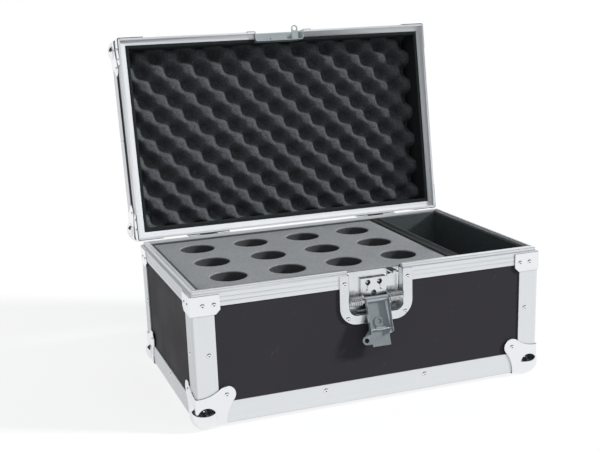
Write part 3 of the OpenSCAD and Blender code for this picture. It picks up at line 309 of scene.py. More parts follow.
alongY = Matrix.Rotation(math.radians(90), 4, "Z")
alongZ = Matrix.Rotation(math.radians(-90), 4, "Y")
finishes = {
    "edgesAcross": metalFinish("aluminiumEdgesAcross", aluminiumLook),
    "edgesDeep": metalFinish("aluminiumEdgesFrontToBack", aluminiumLook, eulerOf(alongY)),
    "edgesUpright": metalFinish("aluminiumEdgesUpright", aluminiumLook, eulerOf(alongZ)),
    "lidEdgesLong": metalFinish("aluminiumLidSides", aluminiumLook, eulerOf(lidTurn @ alongY)),
    "lidRimsAcross": metalFinish("aluminiumLidRimsAcross", lidRimLitLook),
    "lidRimsDeep": metalFinish("aluminiumLidRimsDeep", lidRimLitLook, eulerOf(lidTurn @ alongY)),
    "lidEdgesShort": metalFinish("aluminiumLidCorners", aluminiumLook, eulerOf(lidTurn @ alongZ)),
    "chrome": metalFinish("cornerChrome", chromeLook),
    "zinc": metalFinish("latchZinc", zincLook),
    "lidDish": metalFinish("lidDishZinc", lidDishLook),
    "lever": metalFinish("leverZinc", leverLook, eulerOf(alongZ)),
    "wire": metalFinish("springWire", wireLook),
    "laminate": boardFinish("darkLaminate", laminateLook),
    "dividerBoard": boardFinish("dividerBoard", dividerBoardLook),
    "grip": boardFinish("gripPlastic", gripLook),
    "greyFoam": foamFinish("greyFoam", greyFoamLook),
    "darkFoam": foamFinish("waveFoam", darkFoamLook),
    "lining": foamFinish("blackLining", liningLook),
    "bodyLining": foamFinish("blackBodyLining", litBodyLiningLook),
}
print("finishes:", len(finishes))


# ---- mesh helpers ----
def linkMesh(name, mesh):
    obj = bpy.data.objects.new(name, mesh)
    bpy.context.scene.collection.objects.link(obj)
    return obj


def smoothTo(mesh, degrees):
    mesh.polygons.foreach_set("use_smooth", [True] * len(mesh.polygons))
    mesh.set_sharp_from_angle(angle=math.radians(degrees))


def newPiece(name, points, faces, place=toRow, smooth=35.0, outward=True):
    mesh = bpy.data.meshes.new(name)
    mesh.from_pydata([tuple(p) for p in points], [], faces)
    mesh.transform(place)
    shape = bmesh.new()
    shape.from_mesh(mesh)
    bmesh.ops.remove_doubles(shape, verts=shape.verts, dist=1e-6)
    if outward:
        bmesh.ops.recalc_face_normals(shape, faces=shape.faces)
    shape.to_mesh(mesh)
    shape.free()
    smoothTo(mesh, smooth)
    return linkMesh(name, mesh)


def applied(obj):
    # the evaluated shape as a plain mesh at the origin, with no modifier left
    graph = bpy.context.evaluated_depsgraph_get()
    mesh = bpy.data.meshes.new_from_object(obj.evaluated_get(graph), depsgraph=graph)
    name = obj.name
    bpy.data.objects.remove(obj)
    mesh.name = name
    return linkMesh(name, mesh)


def evenShading(obj, smooth=35.0):
    # large flat faces keep their own direction next to a rounded edge
    smoothTo(obj.data, smooth)
    weighted = obj.modifiers.new("evenShading", "WEIGHTED_NORMAL")
    weighted.keep_sharp = True
    return applied(obj)


def dress(obj, body, finish, replaced=()):
    obj.data.materials.clear()
    obj.data.materials.append(finishes[finish])
    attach(obj, body)
    if replaced:
        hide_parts(*replaced)
    return obj


def camel(name):
    first, *rest = name.split("_")
    return first + "".join(word.capitalize() for word in rest)


def mergedCopy(node, bevel=0.0, segments=2):
    # a CAD node as one welded skin, its sharp edges broken where a bevel in millimetres is given
    shape = bmesh.new()
    shape.from_mesh(nodes[node].data)
    bmesh.ops.remove_doubles(shape, verts=shape.verts, dist=2e-6)
    if bevel:
        bmesh.ops.dissolve_limit(shape, angle_limit=math.radians(0.6), verts=shape.verts, edges=shape.edges)
    mesh = bpy.data.meshes.new(camel(node))
    shape.to_mesh(mesh)
    shape.free()
    obj = linkMesh(camel(node), mesh)
    if bevel:
        edge = obj.modifiers.new("brokenEdges", "BEVEL")
        edge.width = bevel * mm
        edge.segments = segments
        edge.limit_method = "ANGLE"
        edge.angle_limit = math.radians(50)
        obj = applied(obj)
    return evenShading(obj)


# ---- pieces that keep their CAD shape ----
keptPieces = {
    "edgesAcross": ["base_angle_front", "base_angle_back", "rim_front", "rim_back", "lid_angle_front",
                    "lid_angle_back"],
    "lidRimsAcross": ["lid_rim_front", "lid_rim_back"],
    "lidRimsDeep": ["lid_side_rims"],
    "edgesDeep": ["base_angle_left", "base_angle_right", "rim_left", "rim_right"],
    "edgesUpright": ["corner_angle_fl", "corner_angle_fr", "corner_angle_bl", "corner_angle_br"],
    "lidEdgesLong": ["lid_side_angles"],
    "lidEdgesShort": ["lid_corner_angles"],
    "chrome": ["ball_corner_fl", "ball_corner_fr", "ball_corner_bl", "ball_corner_br", "lid_ball_corners",
               "rim_corner_plates", "lid_corner_plates", "lever_pin", "hook_pin", "hinge_pins"],
    "zinc": ["latch_base", "padlock_tab", "hinge_body_leaves", "hinge_lid_leaves", "handle_brackets",
             "handle_bail"],
    "lidDish": ["lid_keeper"],
    "lever": ["latch_lever", "latch_hook"],
}
for finish, members in keptPieces.items():
    for node in members:
        dress(mergedCopy(node), bodyOf[node], finish, [node])
for node in ("base_panel", "front_panel", "back_panel", "left_panel", "right_panel", "lid_panel",
             "lid_front_board", "lid_back_board", "lid_side_boards"):
    nodes[node].data.materials.clear()
    nodes[node].data.materials.append(finishes["laminate"])
print("hard pieces:", sum(len(m) for m in keptPieces.values()))


# ---- geometry node helpers ----
def runTree(obj, tree, values):
    modifier = obj.modifiers.new(tree.name, "NODES")
    modifier.node_group = tree
    for item in tree.interface.items_tree:
        if item.in_out == "INPUT" and item.name in values:
            modifier[item.identifier] = values[item.name]
    return obj


def closeTree(tree, geometry, material, made):
    real = put(tree, "GeometryNodeRealizeInstances", {0: geometry}).outputs[0]
    painted = put(tree, "GeometryNodeSetMaterial", {"Geometry": real, "Material": material}).outputs[0]
    tree.links.new(painted, made["Geometry"])


geometryKind, materialKind, intKind = "NodeSocketGeometry", "NodeSocketMaterial", "NodeSocketInt"

# ---- wave foam in the lid ----
waveFoam = {"insetX": 15.5, "insetY": 15.5, "halfWidth": 250.0, "depth": 300.0, "peakLevel": 29.0,
            "waveHeight": 25.0, "backLevel": 63.5, "wavesX": 10.0, "wavesY": 6.0, "ridgeBias": 0.09,
            "broadness": 1.3, "shift": 0.3, "uneven": 1.2, "stepsX": 241, "stepsY": 145, "seed": 3.0}


def makeWaveTree():
    inputs = [("Geometry", geometryKind, None), ("Size X", floatKind, 469.0), ("Size Y", floatKind, 269.0),
              ("Waves X", floatKind, 5.0), ("Waves Y", floatKind, 3.0), ("Peak Level", floatKind, 18.0),
              ("Wave Height", floatKind, 25.0), ("Back Level", floatKind, 63.5),
              ("Ridge Bias", floatKind, 0.1), ("Broadness", floatKind, 1.0), ("Wave Shift", floatKind, 0.0),
              ("Unevenness", floatKind, 1.0), ("Seed", floatKind, 0.0), ("Points X", intKind, 101),
              ("Points Y", intKind, 61), ("Material", materialKind, None)]
    tree, given, made = newTree("waveFoamRule", "GeometryNodeTree", inputs, [("Geometry", geometryKind)])
    sizes = {"Size X": given["Size X"], "Size Y": given["Size Y"], "Vertices X": given["Points X"],
             "Vertices Y": given["Points Y"]}
    sheet = put(tree, "GeometryNodeMeshGrid", sizes).outputs[0]
    position = put(tree, "GeometryNodeInputPosition").outputs[0]
    x, y, _ = put(tree, "ShaderNodeSeparateXYZ", {0: position}).outputs
    turns = []
    sideways = (x, "Size X", "Waves X", given["Wave Shift"])
    for value, size, waves, shift in (sideways, (y, "Size Y", "Waves Y", 0.0)):
        share = calc(tree, "ADD", calc(tree, "DIVIDE", value, given[size]), 0.5)
        counted = calc(tree, "MULTIPLY_ADD", share, given[waves], shift)
        turns.append(calc(tree, "MULTIPLY", counted, 2 * math.pi))
    along = calc(tree, "COSINE", calc(tree, "SUBTRACT", *turns))
    across = calc(tree, "COSINE", calc(tree, "ADD", *turns))
    strong = calc(tree, "MULTIPLY", along, calc(tree, "ADD", given["Ridge Bias"], 0.5))
    weak = calc(tree, "MULTIPLY", across, calc(tree, "SUBTRACT", 0.5, given["Ridge Bias"]))
    even = calc(tree, "MULTIPLY_ADD", calc(tree, "SUBTRACT", strong, weak), 0.5, 0.5, clamp=True)
    wave = remap(tree, calc(tree, "POWER", even, given["Broadness"]), 0.0, 1.0)
    wobbleValues = {"Vector": position, "W": given["Seed"], "Scale": 0.025, "Detail": 2.0}
    wobble = put(tree, "ShaderNodeTexNoise", wobbleValues, noise_dimensions="4D").outputs["Fac"]
    uneven = calc(tree, "MULTIPLY", calc(tree, "SUBTRACT", wobble, 0.5), given["Unevenness"])
    level = calc(tree, "MULTIPLY_ADD", wave, given["Wave Height"], given["Peak Level"])
    height = put(tree, "ShaderNodeCombineXYZ", {2: calc(tree, "ADD", level, uneven)}).outputs[0]
    waved = put(tree, "GeometryNodeSetPosition", {"Geometry": sheet, "Offset": height}).outputs[0]
    faceCount = put(tree, "GeometryNodeInputMeshEdgeNeighbors").outputs[0]
    border = put(tree, "FunctionNodeCompare", {2: faceCount, 3: 1},
                 data_type="INT", operation="EQUAL").outputs[0]
    wall = put(tree, "GeometryNodeExtrudeMesh",
               {"Mesh": waved, "Selection": border, "Offset Scale": 0.0}, mode="EDGES")
    backPoint = put(tree, "ShaderNodeCombineXYZ", {0: x, 1: y, 2: given["Back Level"]}).outputs[0]
    drawn = {"Geometry": wall.outputs["Mesh"], "Selection": wall.outputs["Top"], "Position": backPoint}
    boxed = put(tree, "GeometryNodeSetPosition", drawn).outputs[0]
    back = put(tree, "GeometryNodeSetPosition", {"Geometry": sheet, "Position": backPoint}).outputs[0]
    join = put(tree, "GeometryNodeJoinGeometry")
    tree.links.new(back, join.inputs[0])
    tree.links.new(boxed, join.inputs[0])
    welded = {"Geometry": join.outputs[0], "Distance": 0.01}
    closed = put(tree, "GeometryNodeMergeByDistance", welded).outputs[0]
    closeTree(tree, closed, given["Material"], made)
    return tree


def plainCopy(obj, place, smooth=35.0):
    obj = applied(obj)
    shape = bmesh.new()
    shape.from_mesh(obj.data)
    bmesh.ops.transform(shape, matrix=place, verts=shape.verts)
    bmesh.ops.recalc_face_normals(shape, faces=shape.faces)
    shape.to_mesh(obj.data)
    shape.free()
    smoothTo(obj.data, smooth)
    return obj


seedPoint = bpy.data.meshes.new("waveFoam")
seedPoint.from_pydata([(0, 0, 0)], [], [])
waveFoamObject = runTree(linkMesh("waveFoam", seedPoint), makeWaveTree(), {
    "Size X": 2 * (waveFoam["halfWidth"] - waveFoam["insetX"]),
    "Size Y": waveFoam["depth"] - 2 * waveFoam["insetY"],
    "Waves X": waveFoam["wavesX"], "Waves Y": waveFoam["wavesY"], "Peak Level": waveFoam["peakLevel"],
    "Wave Height": waveFoam["waveHeight"], "Back Level": waveFoam["backLevel"],
    "Ridge Bias": waveFoam["ridgeBias"], "Broadness": waveFoam["broadness"], "Wave Shift": waveFoam["shift"],
    "Unevenness": waveFoam["uneven"], "Seed": waveFoam["seed"], "Points X": waveFoam["stepsX"],
    "Points Y": waveFoam["stepsY"], "Material": finishes["darkFoam"]})
foamPlace = Matrix.Translation((0, waveFoam["depth"] / 2, case["partingZ"]))
waveFoamObject = plainCopy(waveFoamObject, lidToRow @ foamPlace, 60.0)
dress(waveFoamObject, "lid", "darkFoam", ["convoluted_foam"])
print("wave foam:", len(waveFoamObject.data.polygons), "faces")

# ---- foam block with microphone holes ----
foamBlock = {"low": (-234.0, 16.0, 20.0), "high": (120.0, 284.0, 184.0), "countX": 4, "countY": 3,
             "pitch": 82.0, "holeRadius": 25.0, "holeDepth": 140.0, "rimRound": 0.8, "edgeRound": 2.5,
             "sideSteps": 16, "uneven": 0.45, "seed": 11}


def makeFoamBlock(look):
    shape = bmesh.new()
    low, high = Vector(look["low"]), Vector(look["high"])
    inset = look["edgeRound"]
    middle = (low + high) / 2
    top = high.z
    steps = look["sideSteps"]

    def cut(count, axis):
        inner = [middle[axis] + (i - count / 2) * look["pitch"] for i in range(1, count)]
        return [low[axis] + inset] + inner + [high[axis] - inset]

    linesX, linesY = cut(look["countX"], 0), cut(look["countY"], 1)

    def ripple(point, amount, scale=0.05):
        return amount * noise.noise(Vector(point) * scale + Vector((look["seed"], 0, 0)))

    def bridge(ringA, ringB):
        count = len(ringA)
        for k in range(count):
            quad = [ringA[k], ringA[(k + 1) % count], ringB[(k + 1) % count], ringB[k]]
            shape.faces.new(quad)

    def topPoint(x, y):
        return (x, y, top - 0.3 + ripple((x, y, 0), look["uneven"], 0.02))

    for i in range(look["countX"]):
        for j in range(look["countY"]):
            x0, x1, y0, y1 = linesX[i], linesX[i + 1], linesY[j], linesY[j + 1]
            centre = Vector((middle.x + (i - (look["countX"] - 1) / 2) * look["pitch"],
                             middle.y + (j - (look["countY"] - 1) / 2) * look["pitch"], 0))
            square = [(x0 + (x1 - x0) * k / steps, y0) for k in range(steps)]
            square += [(x1, y0 + (y1 - y0) * k / steps) for k in range(steps)]
            square += [(x1 - (x1 - x0) * k / steps, y1) for k in range(steps)]
            square += [(x0, y1 - (y1 - y0) * k / steps) for k in range(steps)]
            angles = [math.atan2(y - centre.y, x - centre.x) for x, y in square]
            rings = [[shape.verts.new(topPoint(x, y)) for x, y in square]]
            radius, rim = look["holeRadius"], look["rimRound"]

            def ring(extra, z, wild=0.35):
                made = []
                for angle in angles:
                    way = Vector((math.cos(angle), math.sin(angle), 0))
                    r = radius + extra + wild * noise.noise(way * 1.7 + Vector((i * 7, j * 5, z * 0.03)))
                    spot = centre + way * r
                    made.append(shape.verts.new((spot.x, spot.y, z)))
                return made

            reach = 7.0
            flat = []
            for angle, (x, y) in zip(angles, square):
                spot = centre + Vector((math.cos(angle), math.sin(angle), 0)) * (radius + reach)
                flat.append(shape.verts.new(topPoint(spot.x, spot.y)))
            rings.append(flat)
            for k in range(6):
                turn = math.radians(90 * k / 5)
                rings.append(ring(rim * (1 - math.sin(turn)), top - 0.3 - rim * (1 - math.cos(turn)), 0.5))
            depth = look["holeDepth"]
            for share in (0.08, 0.2, 0.4, 0.6, 0.8, 0.95, 1.0):
                rings.append(ring(0.2 * math.sin(share * 9), top - rim - (depth - rim) * share))
            for a, b in zip(rings, rings[1:]):
                bridge(a, b)
            shape.faces.new(rings[-1])
    bmesh.ops.remove_doubles(shape, verts=shape.verts, dist=0.01)
    border = [e for e in shape.edges if len(e.link_faces) == 1]
    ringVerts = list({v for e in border for v in e.verts})
    ringVerts.sort(key=lambda v: math.atan2(v.co.y - middle.y, v.co.x - middle.x))

    def pushed(point, out, z):
        x, y = point.x, point.y
        x += out * ((x > high.x - inset - 0.01) - (x < low.x + inset + 0.01))
        y += out * ((y > high.y - inset - 0.01) - (y < low.y + inset + 0.01))
        return (x, y, z)

    last = ringVerts
    levels = [(inset * math.sin(math.radians(a)), top - 0.3 - inset * (1 - math.cos(math.radians(a))))
              for a in (22.5, 45, 67.5, 90)]
    levels += [(inset, top - (top - low.z) * s) for s in (0.15, 0.4, 0.7, 1.0)]
    for out, z in levels:
        nextRing = [shape.verts.new(pushed(v.co, out, z)) for v in ringVerts]
        bridge(last, nextRing)
        last = nextRing
    shape.faces.new(last)
    bmesh.ops.recalc_face_normals(shape, faces=shape.faces)
    bmesh.ops.transform(shape, matrix=toRow, verts=shape.verts)
    mesh = bpy.data.meshes.new("microphoneFoam")
    shape.to_mesh(mesh)
    shape.free()
    smoothTo(mesh, 50.0)
    return linkMesh("microphoneFoam", mesh)


dress(makeFoamBlock(foamBlock), "case_body", "greyFoam", ["microphone_foam"])
print("foam block done")

# ---- lining and divider ----
lining = {"edge": 1.2, "segments": 3}
for node, body, finish in (("body_liner", "case_body", "bodyLining"), ("lid_liner", "lid", "lining")):
    dress(mergedCopy(node, lining["edge"], lining["segments"]), body, finish, [node])

divider = {"x": 120.5, "skin": 4.75, "board": 7.0, "y0": 15.5, "y1": 284.5, "z0": 20.0, "z1": 186.0,
           "skinRound": 2.0, "boardRound": 0.6, "boardBelow": 0.8}


def roundedBlock(name, low, high, radius, segments, ripple=0.0, seed=0.0):
    shape = bmesh.new()
    bmesh.ops.create_cube(shape, size=1.0)
    middle, size = (Vector(low) + Vector(high)) / 2, Vector(high) - Vector(low)
    for v in shape.verts:
        v.co = Vector([middle[k] + v.co[k] * size[k] for k in range(3)])
    bmesh.ops.bevel(shape, geom=shape.edges[:], offset=radius, segments=segments, profile=0.5, affect="EDGES")
    for axis in (1, 2):
        for step in range(1, 24):
            spot = low[axis] + size[axis] * step / 24
            plane = [0, 0, 0]
            plane[axis] = 1
            cutGeometry = shape.verts[:] + shape.edges[:] + shape.faces[:]
            bmesh.ops.bisect_plane(shape, geom=cutGeometry, plane_co=[spot * (k == axis) for k in range(3)],
                                   plane_no=plane)
    for v in shape.verts:
        if v.co.z > low[2] + 1:
            v.co.x += ripple * noise.noise(v.co * 0.03 + Vector((seed, 0, 0)))
            v.co.z += ripple * 0.6 * noise.noise(v.co * 0.02 + Vector((0, seed, 0)))
    bmesh.ops.recalc_face_normals(shape, faces=shape.faces)
    bmesh.ops.transform(shape, matrix=toRow, verts=shape.verts)
    mesh = bpy.data.meshes.new(name)
    shape.to_mesh(mesh)
    shape.free()
    smoothTo(mesh, 40.0)
    return linkMesh(name, mesh)


def dividerPart(name, x0, x1, z1, radius, segments, ripple):
    low, high = (x0, divider["y0"], divider["z0"]), (x1, divider["y1"], z1)
    return roundedBlock(name, low, high, radius, segments, ripple, x0)


boardX = divider["x"] + divider["skin"]
board = dividerPart("dividerBoard", boardX, boardX + divider["board"], divider["z1"] - divider["boardBelow"],
                    divider["boardRound"], 2, 0.0)
dress(board, "case_body", "dividerBoard", ["divider"])
for name, x0 in (("dividerSkinLeft", divider["x"]), ("dividerSkinRight", boardX + divider["board"])):
    skin = dividerPart(name, x0, x0 + divider["skin"], divider["z1"], divider["skinRound"], 3, 0.25)
    dress(skin, "case_body", "bodyLining", ["divider"])
print("lining and divider done")

# ---- latch dishes ----
dish = {"width": 77.0, "bottom": 128.5, "round": 11.0, "flange": 14.0, "depth": 13.2, "sheet": 1.2,
        "arcSteps": 10, "bend": 2.2, "lidBottom": 155.0}


def dishOutline(halfWidth, bottom, radius, topZ, steps):
    points = [(-halfWidth, topZ)]
    for centreX, start in ((-halfWidth + radius, 180), (halfWidth - radius, 270)):
        for k in range(steps + 1):
            angle = math.radians(start + 90 * k / steps)
            points.append((centreX + radius * math.cos(angle), bottom + radius + radius * math.sin(angle)))
    points.append((halfWidth, topZ))
    return points


def makeDish(name, bottom, place):
    flange, depth, bend, sheet = dish["flange"], dish["depth"], dish["bend"], dish["sheet"]
    profile = [(flange, 1.3), (flange, -0.5), (flange - 0.2, -0.95), (flange - 0.7, -sheet)]
    profile += [(bend + 1.5, -sheet)]
    for k in range(6):
        angle = math.radians(90 * k / 5)
        profile.append((bend * (1 - math.sin(angle)), -sheet + bend * (1 - math.cos(angle))))
    profile.append((-0.25, depth - bend))
    for k in range(1, 6):
        angle = math.radians(90 * k / 5)
        profile.append((-0.25 - bend * (1 - math.cos(angle)), depth - bend + bend * math.sin(angle)))
    rings = []
    for out, y in profile:
        outline = dishOutline(dish["width"] / 2 + out, bottom - out, dish["round"] + out, case["partingZ"],
                              dish["arcSteps"])
        rings.append([(case["latchX"] + x, y, z) for x, z in outline])
    count = len(rings[0])
    points = [p for ring in rings for p in ring]
    faces = []
    for i in range(len(rings) - 1):
        for k in range(count - 1):
            a, b = i * count + k, (i + 1) * count + k
            faces.append((a, a + 1, b + 1, b))
    faces.append(tuple((len(rings) - 1) * count + k for k in range(count)))
    obj = newPiece(name, points, faces, place, outward=False)
    thick = obj.modifiers.new("sheet", "SOLIDIFY")
    thick.thickness = sheet * mm
    thick.offset = -1.0
    return obj


def facesForward(obj, forward):
    # turns the open sheet so that its flange looks the way it should, before it gets its thickness
    mesh = obj.data
    biggest = max(mesh.polygons, key=lambda p: p.area)
    if biggest.normal.dot(forward) < 0:
        mesh.flip_normals()
    return obj


partingUp = Matrix.Translation((0, 0, case["partingZ"]))
lidFlip = partingUp @ Matrix.Scale(-1, 4, (0, 0, 1)) @ partingUp.inverted()
bodyDish = facesForward(makeDish("latchDish", dish["bottom"], toRow), Vector((0, -1, 0)))
dress(evenShading(applied(bodyDish), 40.0), "case_body", "zinc", ["latch_dish"])
lidDish = facesForward(makeDish("lidDish", dish["lidBottom"], lidToRow @ lidFlip),
                       lidTurn.to_3x3() @ Vector((0, -1, 0)))
dress(evenShading(applied(lidDish), 40.0), "lid", "lidDish", ["lid_dish"])

# ---- latch springs ----
springs = {"turns": 5.0, "coilRadius": 6.3, "wireRadius": 0.75, "pitch": 2.9, "pinBack": 1.5, "pinZ": 146.0,
           "halfBase": 18.3, "stepsPerTurn": 28, "sides": 10}


def springPath(look):
    inner = look["halfBase"] + 2.0
    outer = inner + look["pitch"] * (look["turns"] + 0.75)
    coil, wire, steps = look["coilRadius"], look["wireRadius"], look["stepsPerTurn"]
    end = dish["depth"] - look["pinBack"]
    points = [(outer, y, -coil) for y in (end, end - 2 * wire, coil / 2)]
    for k in range(int((look["turns"] + 0.75) * steps) + 1):
        angle = math.radians(270 - 360 * k / steps)
        points.append((outer - look["pitch"] * k / steps, coil * math.cos(angle), coil * math.sin(angle)))
    half = look["halfBase"]
    points += [(x, coil, max(x, half + 2 * wire) - inner - 0.2) for x in (inner - 0.6, half + 2 * wire, half)]
    return points


def makeWireTree():
    inputs = [("Geometry", geometryKind, None), ("Wire Radius", floatKind, 0.6), ("Sides", intKind, 10),
              ("Material", materialKind, None)]
    tree, given, made = newTree("wireAlongPath", "GeometryNodeTree", inputs, [("Geometry", geometryKind)])
    curve = put(tree, "GeometryNodeMeshToCurve", {0: given["Geometry"]}).outputs[0]
    ring = put(tree, "GeometryNodeCurvePrimitiveCircle",
               {"Resolution": given["Sides"], "Radius": given["Wire Radius"]})
    wire = put(tree, "GeometryNodeCurveToMesh",
               {"Curve": curve, "Profile Curve": ring.outputs[0], "Fill Caps": True}).outputs[0]
    closeTree(tree, wire, given["Material"], made)
    return tree


wireTree = makeWireTree()
path = springPath(springs)
points, links = [], []
for side in (-1, 1):
    start = len(points)
    points += [(side * x + case["latchX"], y + springs["pinBack"], z + springs["pinZ"]) for x, y, z in path]
    links += [(start + k, start + k + 1) for k in range(len(path) - 1)]
wireMesh = bpy.data.meshes.new("latchSprings")
wireMesh.from_pydata(points, links, [])
wireObject = runTree(linkMesh("latchSprings", wireMesh), wireTree, {
    "Wire Radius": springs["wireRadius"], "Sides": springs["sides"], "Material": finishes["wire"]})
dress(plainCopy(wireObject, toRow, 60.0), "case_body", "wire", ["latch_springs"])
print("latch done")

# ---- rivets ----
rivets = {"segments": 20, "rings": [(0.0, 0.34), (0.26, 0.36), (0.34, 0.52), (0.42, 0.86), (0.52, 0.98),
                                    (0.66, 0.94), (0.8, 0.78), (0.92, 0.5), (0.98, 0.2), (1.0, -0.04)]}


def rivetHead():
    # rounded head with a mandrel hole, one unit across its radius and one unit high, standing along Z
    segments = rivets["segments"]
    points = [(0, 0, rivets["rings"][0][1])]
    faces = []
    for r, z in rivets["rings"][1:]:
        points += [(r * math.cos(2 * math.pi * k / segments), r * math.sin(2 * math.pi * k / segments), z)
                   for k in range(segments)]
    for k in range(segments):
        faces.append((0, 1 + k, 1 + (k + 1) % segments))
        for i in range(len(rivets["rings"]) - 2):
            a = 1 + i * segments
            b = a + segments
            faces.append((a + k, b + k, b + (k + 1) % segments, a + (k + 1) % segments))
    last = 1 + (len(rivets["rings"]) - 2) * segments
    faces.append(tuple(last + k for k in range(segments))[::-1])
    return newPiece("rivetHead", points, faces, Matrix.Identity(4), 50.0)


def makeRivetTree():
    inputs = [("Geometry", geometryKind, None), ("Head", "NodeSocketObject", None),
              ("Radius Share", floatKind, 1.0), ("Material", materialKind, None)]
    tree, given, made = newTree("rivetsAtPoints", "GeometryNodeTree", inputs, [("Geometry", geometryKind)])
    head = put(tree, "GeometryNodeObjectInfo", {"Object": given["Head"]}).outputs["Geometry"]
    facing, size = (put(tree, "GeometryNodeInputNamedAttribute", {"Name": name},
                        data_type="FLOAT_VECTOR").outputs[0] for name in ("facing", "size"))
    turn = put(tree, "FunctionNodeAlignRotationToVector", {"Vector": facing}, axis="Z").outputs[0]
    scale = put(tree, "ShaderNodeVectorMath", {0: size, 3: given["Radius Share"]},
                operation="SCALE").outputs[0]
    placed = put(tree, "GeometryNodeInstanceOnPoints",
                 {"Points": given["Geometry"], "Instance": head, "Rotation": turn, "Scale": scale}).outputs[0]
    closeTree(tree, placed, given["Material"], made)
    return tree


def rivetSpots(node):
    # foot, direction and size of each rivet head of a CAD node
    shape = bmesh.new()
    shape.from_mesh(nodes[node].data)
    bmesh.ops.remove_doubles(shape, verts=shape.verts, dist=2e-6)
    shape.faces.ensure_lookup_table()
    seen, spots = set(), []
    for first in shape.faces:
        if first.index in seen:
            continue
        island, stack = [], [first]
        seen.add(first.index)
        while stack:
            face = stack.pop()
            island.append(face)
            for edge in face.edges:
                for other in edge.link_faces:
                    if other.index not in seen:
                        seen.add(other.index)
                        stack.append(other)
        areas = {}
        for face in island:
            key = tuple(round(c, 3) for c in face.normal)
            areas[key] = areas.get(key, 0.0) + face.calc_area()
        normal = Vector(max(areas, key=areas.get))
        corners = {v for face in island for v in face.verts}
        middle = sum((v.co for v in corners), Vector()) / len(corners)
        up = -normal
        heights = [(v.co - middle).dot(up) for v in corners]
        low, high = min(heights), max(heights)
        foot = middle + up * low
        ring = [v.co - foot for v in corners if (v.co - middle).dot(up) < low + 1e-5]
        foot += sum(ring, Vector()) / len(ring)
        radius = max((v.co - foot).cross(up).length for v in corners)
        spots.append((foot, up, radius, high - low))
    shape.free()
    return spots


headObject = rivetHead()
rivetTree = makeRivetTree()
for node in ("body_rivets", "lid_rivets", "latch_rivets"):
    spots = rivetSpots(node)
    mesh = bpy.data.meshes.new(camel(node))
    mesh.from_pydata([tuple(s[0]) for s in spots], [], [])
    facing = mesh.attributes.new("facing", "FLOAT_VECTOR", "POINT")
    size = mesh.attributes.new("size", "FLOAT_VECTOR", "POINT")
    facing.data.foreach_set("vector", [c for s in spots for c in s[1]])
    size.data.foreach_set("vector", [c for s in spots for c in (s[2], s[2], s[3])])
    obj = runTree(linkMesh(camel(node), mesh), rivetTree,
                  {"Head": headObject, "Radius Share": 1.0, "Material": finishes["chrome"]})
    dress(plainCopy(obj, Matrix.Identity(4), 50.0), bodyOf[node], "chrome", [node])
    print(node, len(spots), "heads")
bpy.data.objects.remove(headObject)

# ---- handle grip ----
grip = {"pivotY": 150.0, "pivotZ": 266.5, "arm": 42.0, "length": 112.0, "radius": 9.0, "bore": 3.55,
        "ribs": 22, "ribDepth": 0.45, "segments": 40}


def makeGrip(look):
    half = look["length"] / 2
    radius = look["radius"]
    profile = [(look["bore"], -half), (radius - 1.4, -half), (radius - 0.4, -half + 0.5),
               (radius, -half + 1.6), (radius, -half + 3.2), (radius - 0.9, -half + 4.2)]
    ribbed = look["length"] - 12.0
    steps = look["ribs"] * 6
    for k in range(steps + 1):
        share = k / steps
        x = -ribbed / 2 + ribbed * share
        swell = 0.55 * math.cos(math.pi * (share - 0.5)) ** 2
        rib = look["ribDepth"] * (0.5 - 0.5 * math.cos(2 * math.pi * share * look["ribs"]))
        profile.append((look["radius"] - 1.0 + swell + rib - 0.1, x))
    profile += [(r, -x) for r, x in reversed(profile[:6])]
    segments = look["segments"]
    turned = Matrix.Translation((0, look["pivotY"], look["pivotZ"])) @ Matrix.Rotation(
        math.radians(case["lidOpenDegrees"] - 90), 4, "X") @ Matrix.Translation((0, look["arm"], 0))
    points, faces = [], []
    for r, x in profile:
        for k in range(segments):
            angle = 2 * math.pi * k / segments
            points.append((x, r * math.cos(angle), r * math.sin(angle)))
    for i in range(len(profile)):
        j = (i + 1) % len(profile)
        for k in range(segments):
            m = (k + 1) % segments
            faces.append((i * segments + k, i * segments + m, j * segments + m, j * segments + k))
    return newPiece("handleGrip", points, faces, lidToRow @ turned, 40.0)


dress(makeGrip(grip), "handle", "grip", ["handle_grip"])
print("handle done")

# ---- floor, light and camera ----
studio = {"floorHalf": 60.0, "floorDiffuse": (0.2, 0.2, 0.2), "floorGlow": 0.8, "floorGlowOnPieces": 0.35,
          "ambient": (0.94, 0.97, 1.0), "ambientStrength": 0.5, "keyStrength": 3.6, "keyAzimuth": 64.0,
          "keyElevation": 26.0, "keyAngle": 7.0, "fillStrength": 0.5, "fillAzimuth": 10.0,
          "fillElevation": 40.0, "fillAngle": 50.0, "roomMiddle": (-0.280, -0.770, -0.574), "roomEdge": -0.41,
          "roomDark": (0.012, 0.014, 0.016), "roomLight": (0.14, 0.145, 0.15), "lampAzimuth": -17.0,
          "lampElevation": 45.0}


def towards(azimuth, elevation):
    # direction to a light, its azimuth turning from the front to the right
    a, e = math.radians(azimuth), math.radians(elevation)
    return Vector((math.sin(a) * math.cos(e), -math.cos(a) * math.cos(e), math.sin(e)))


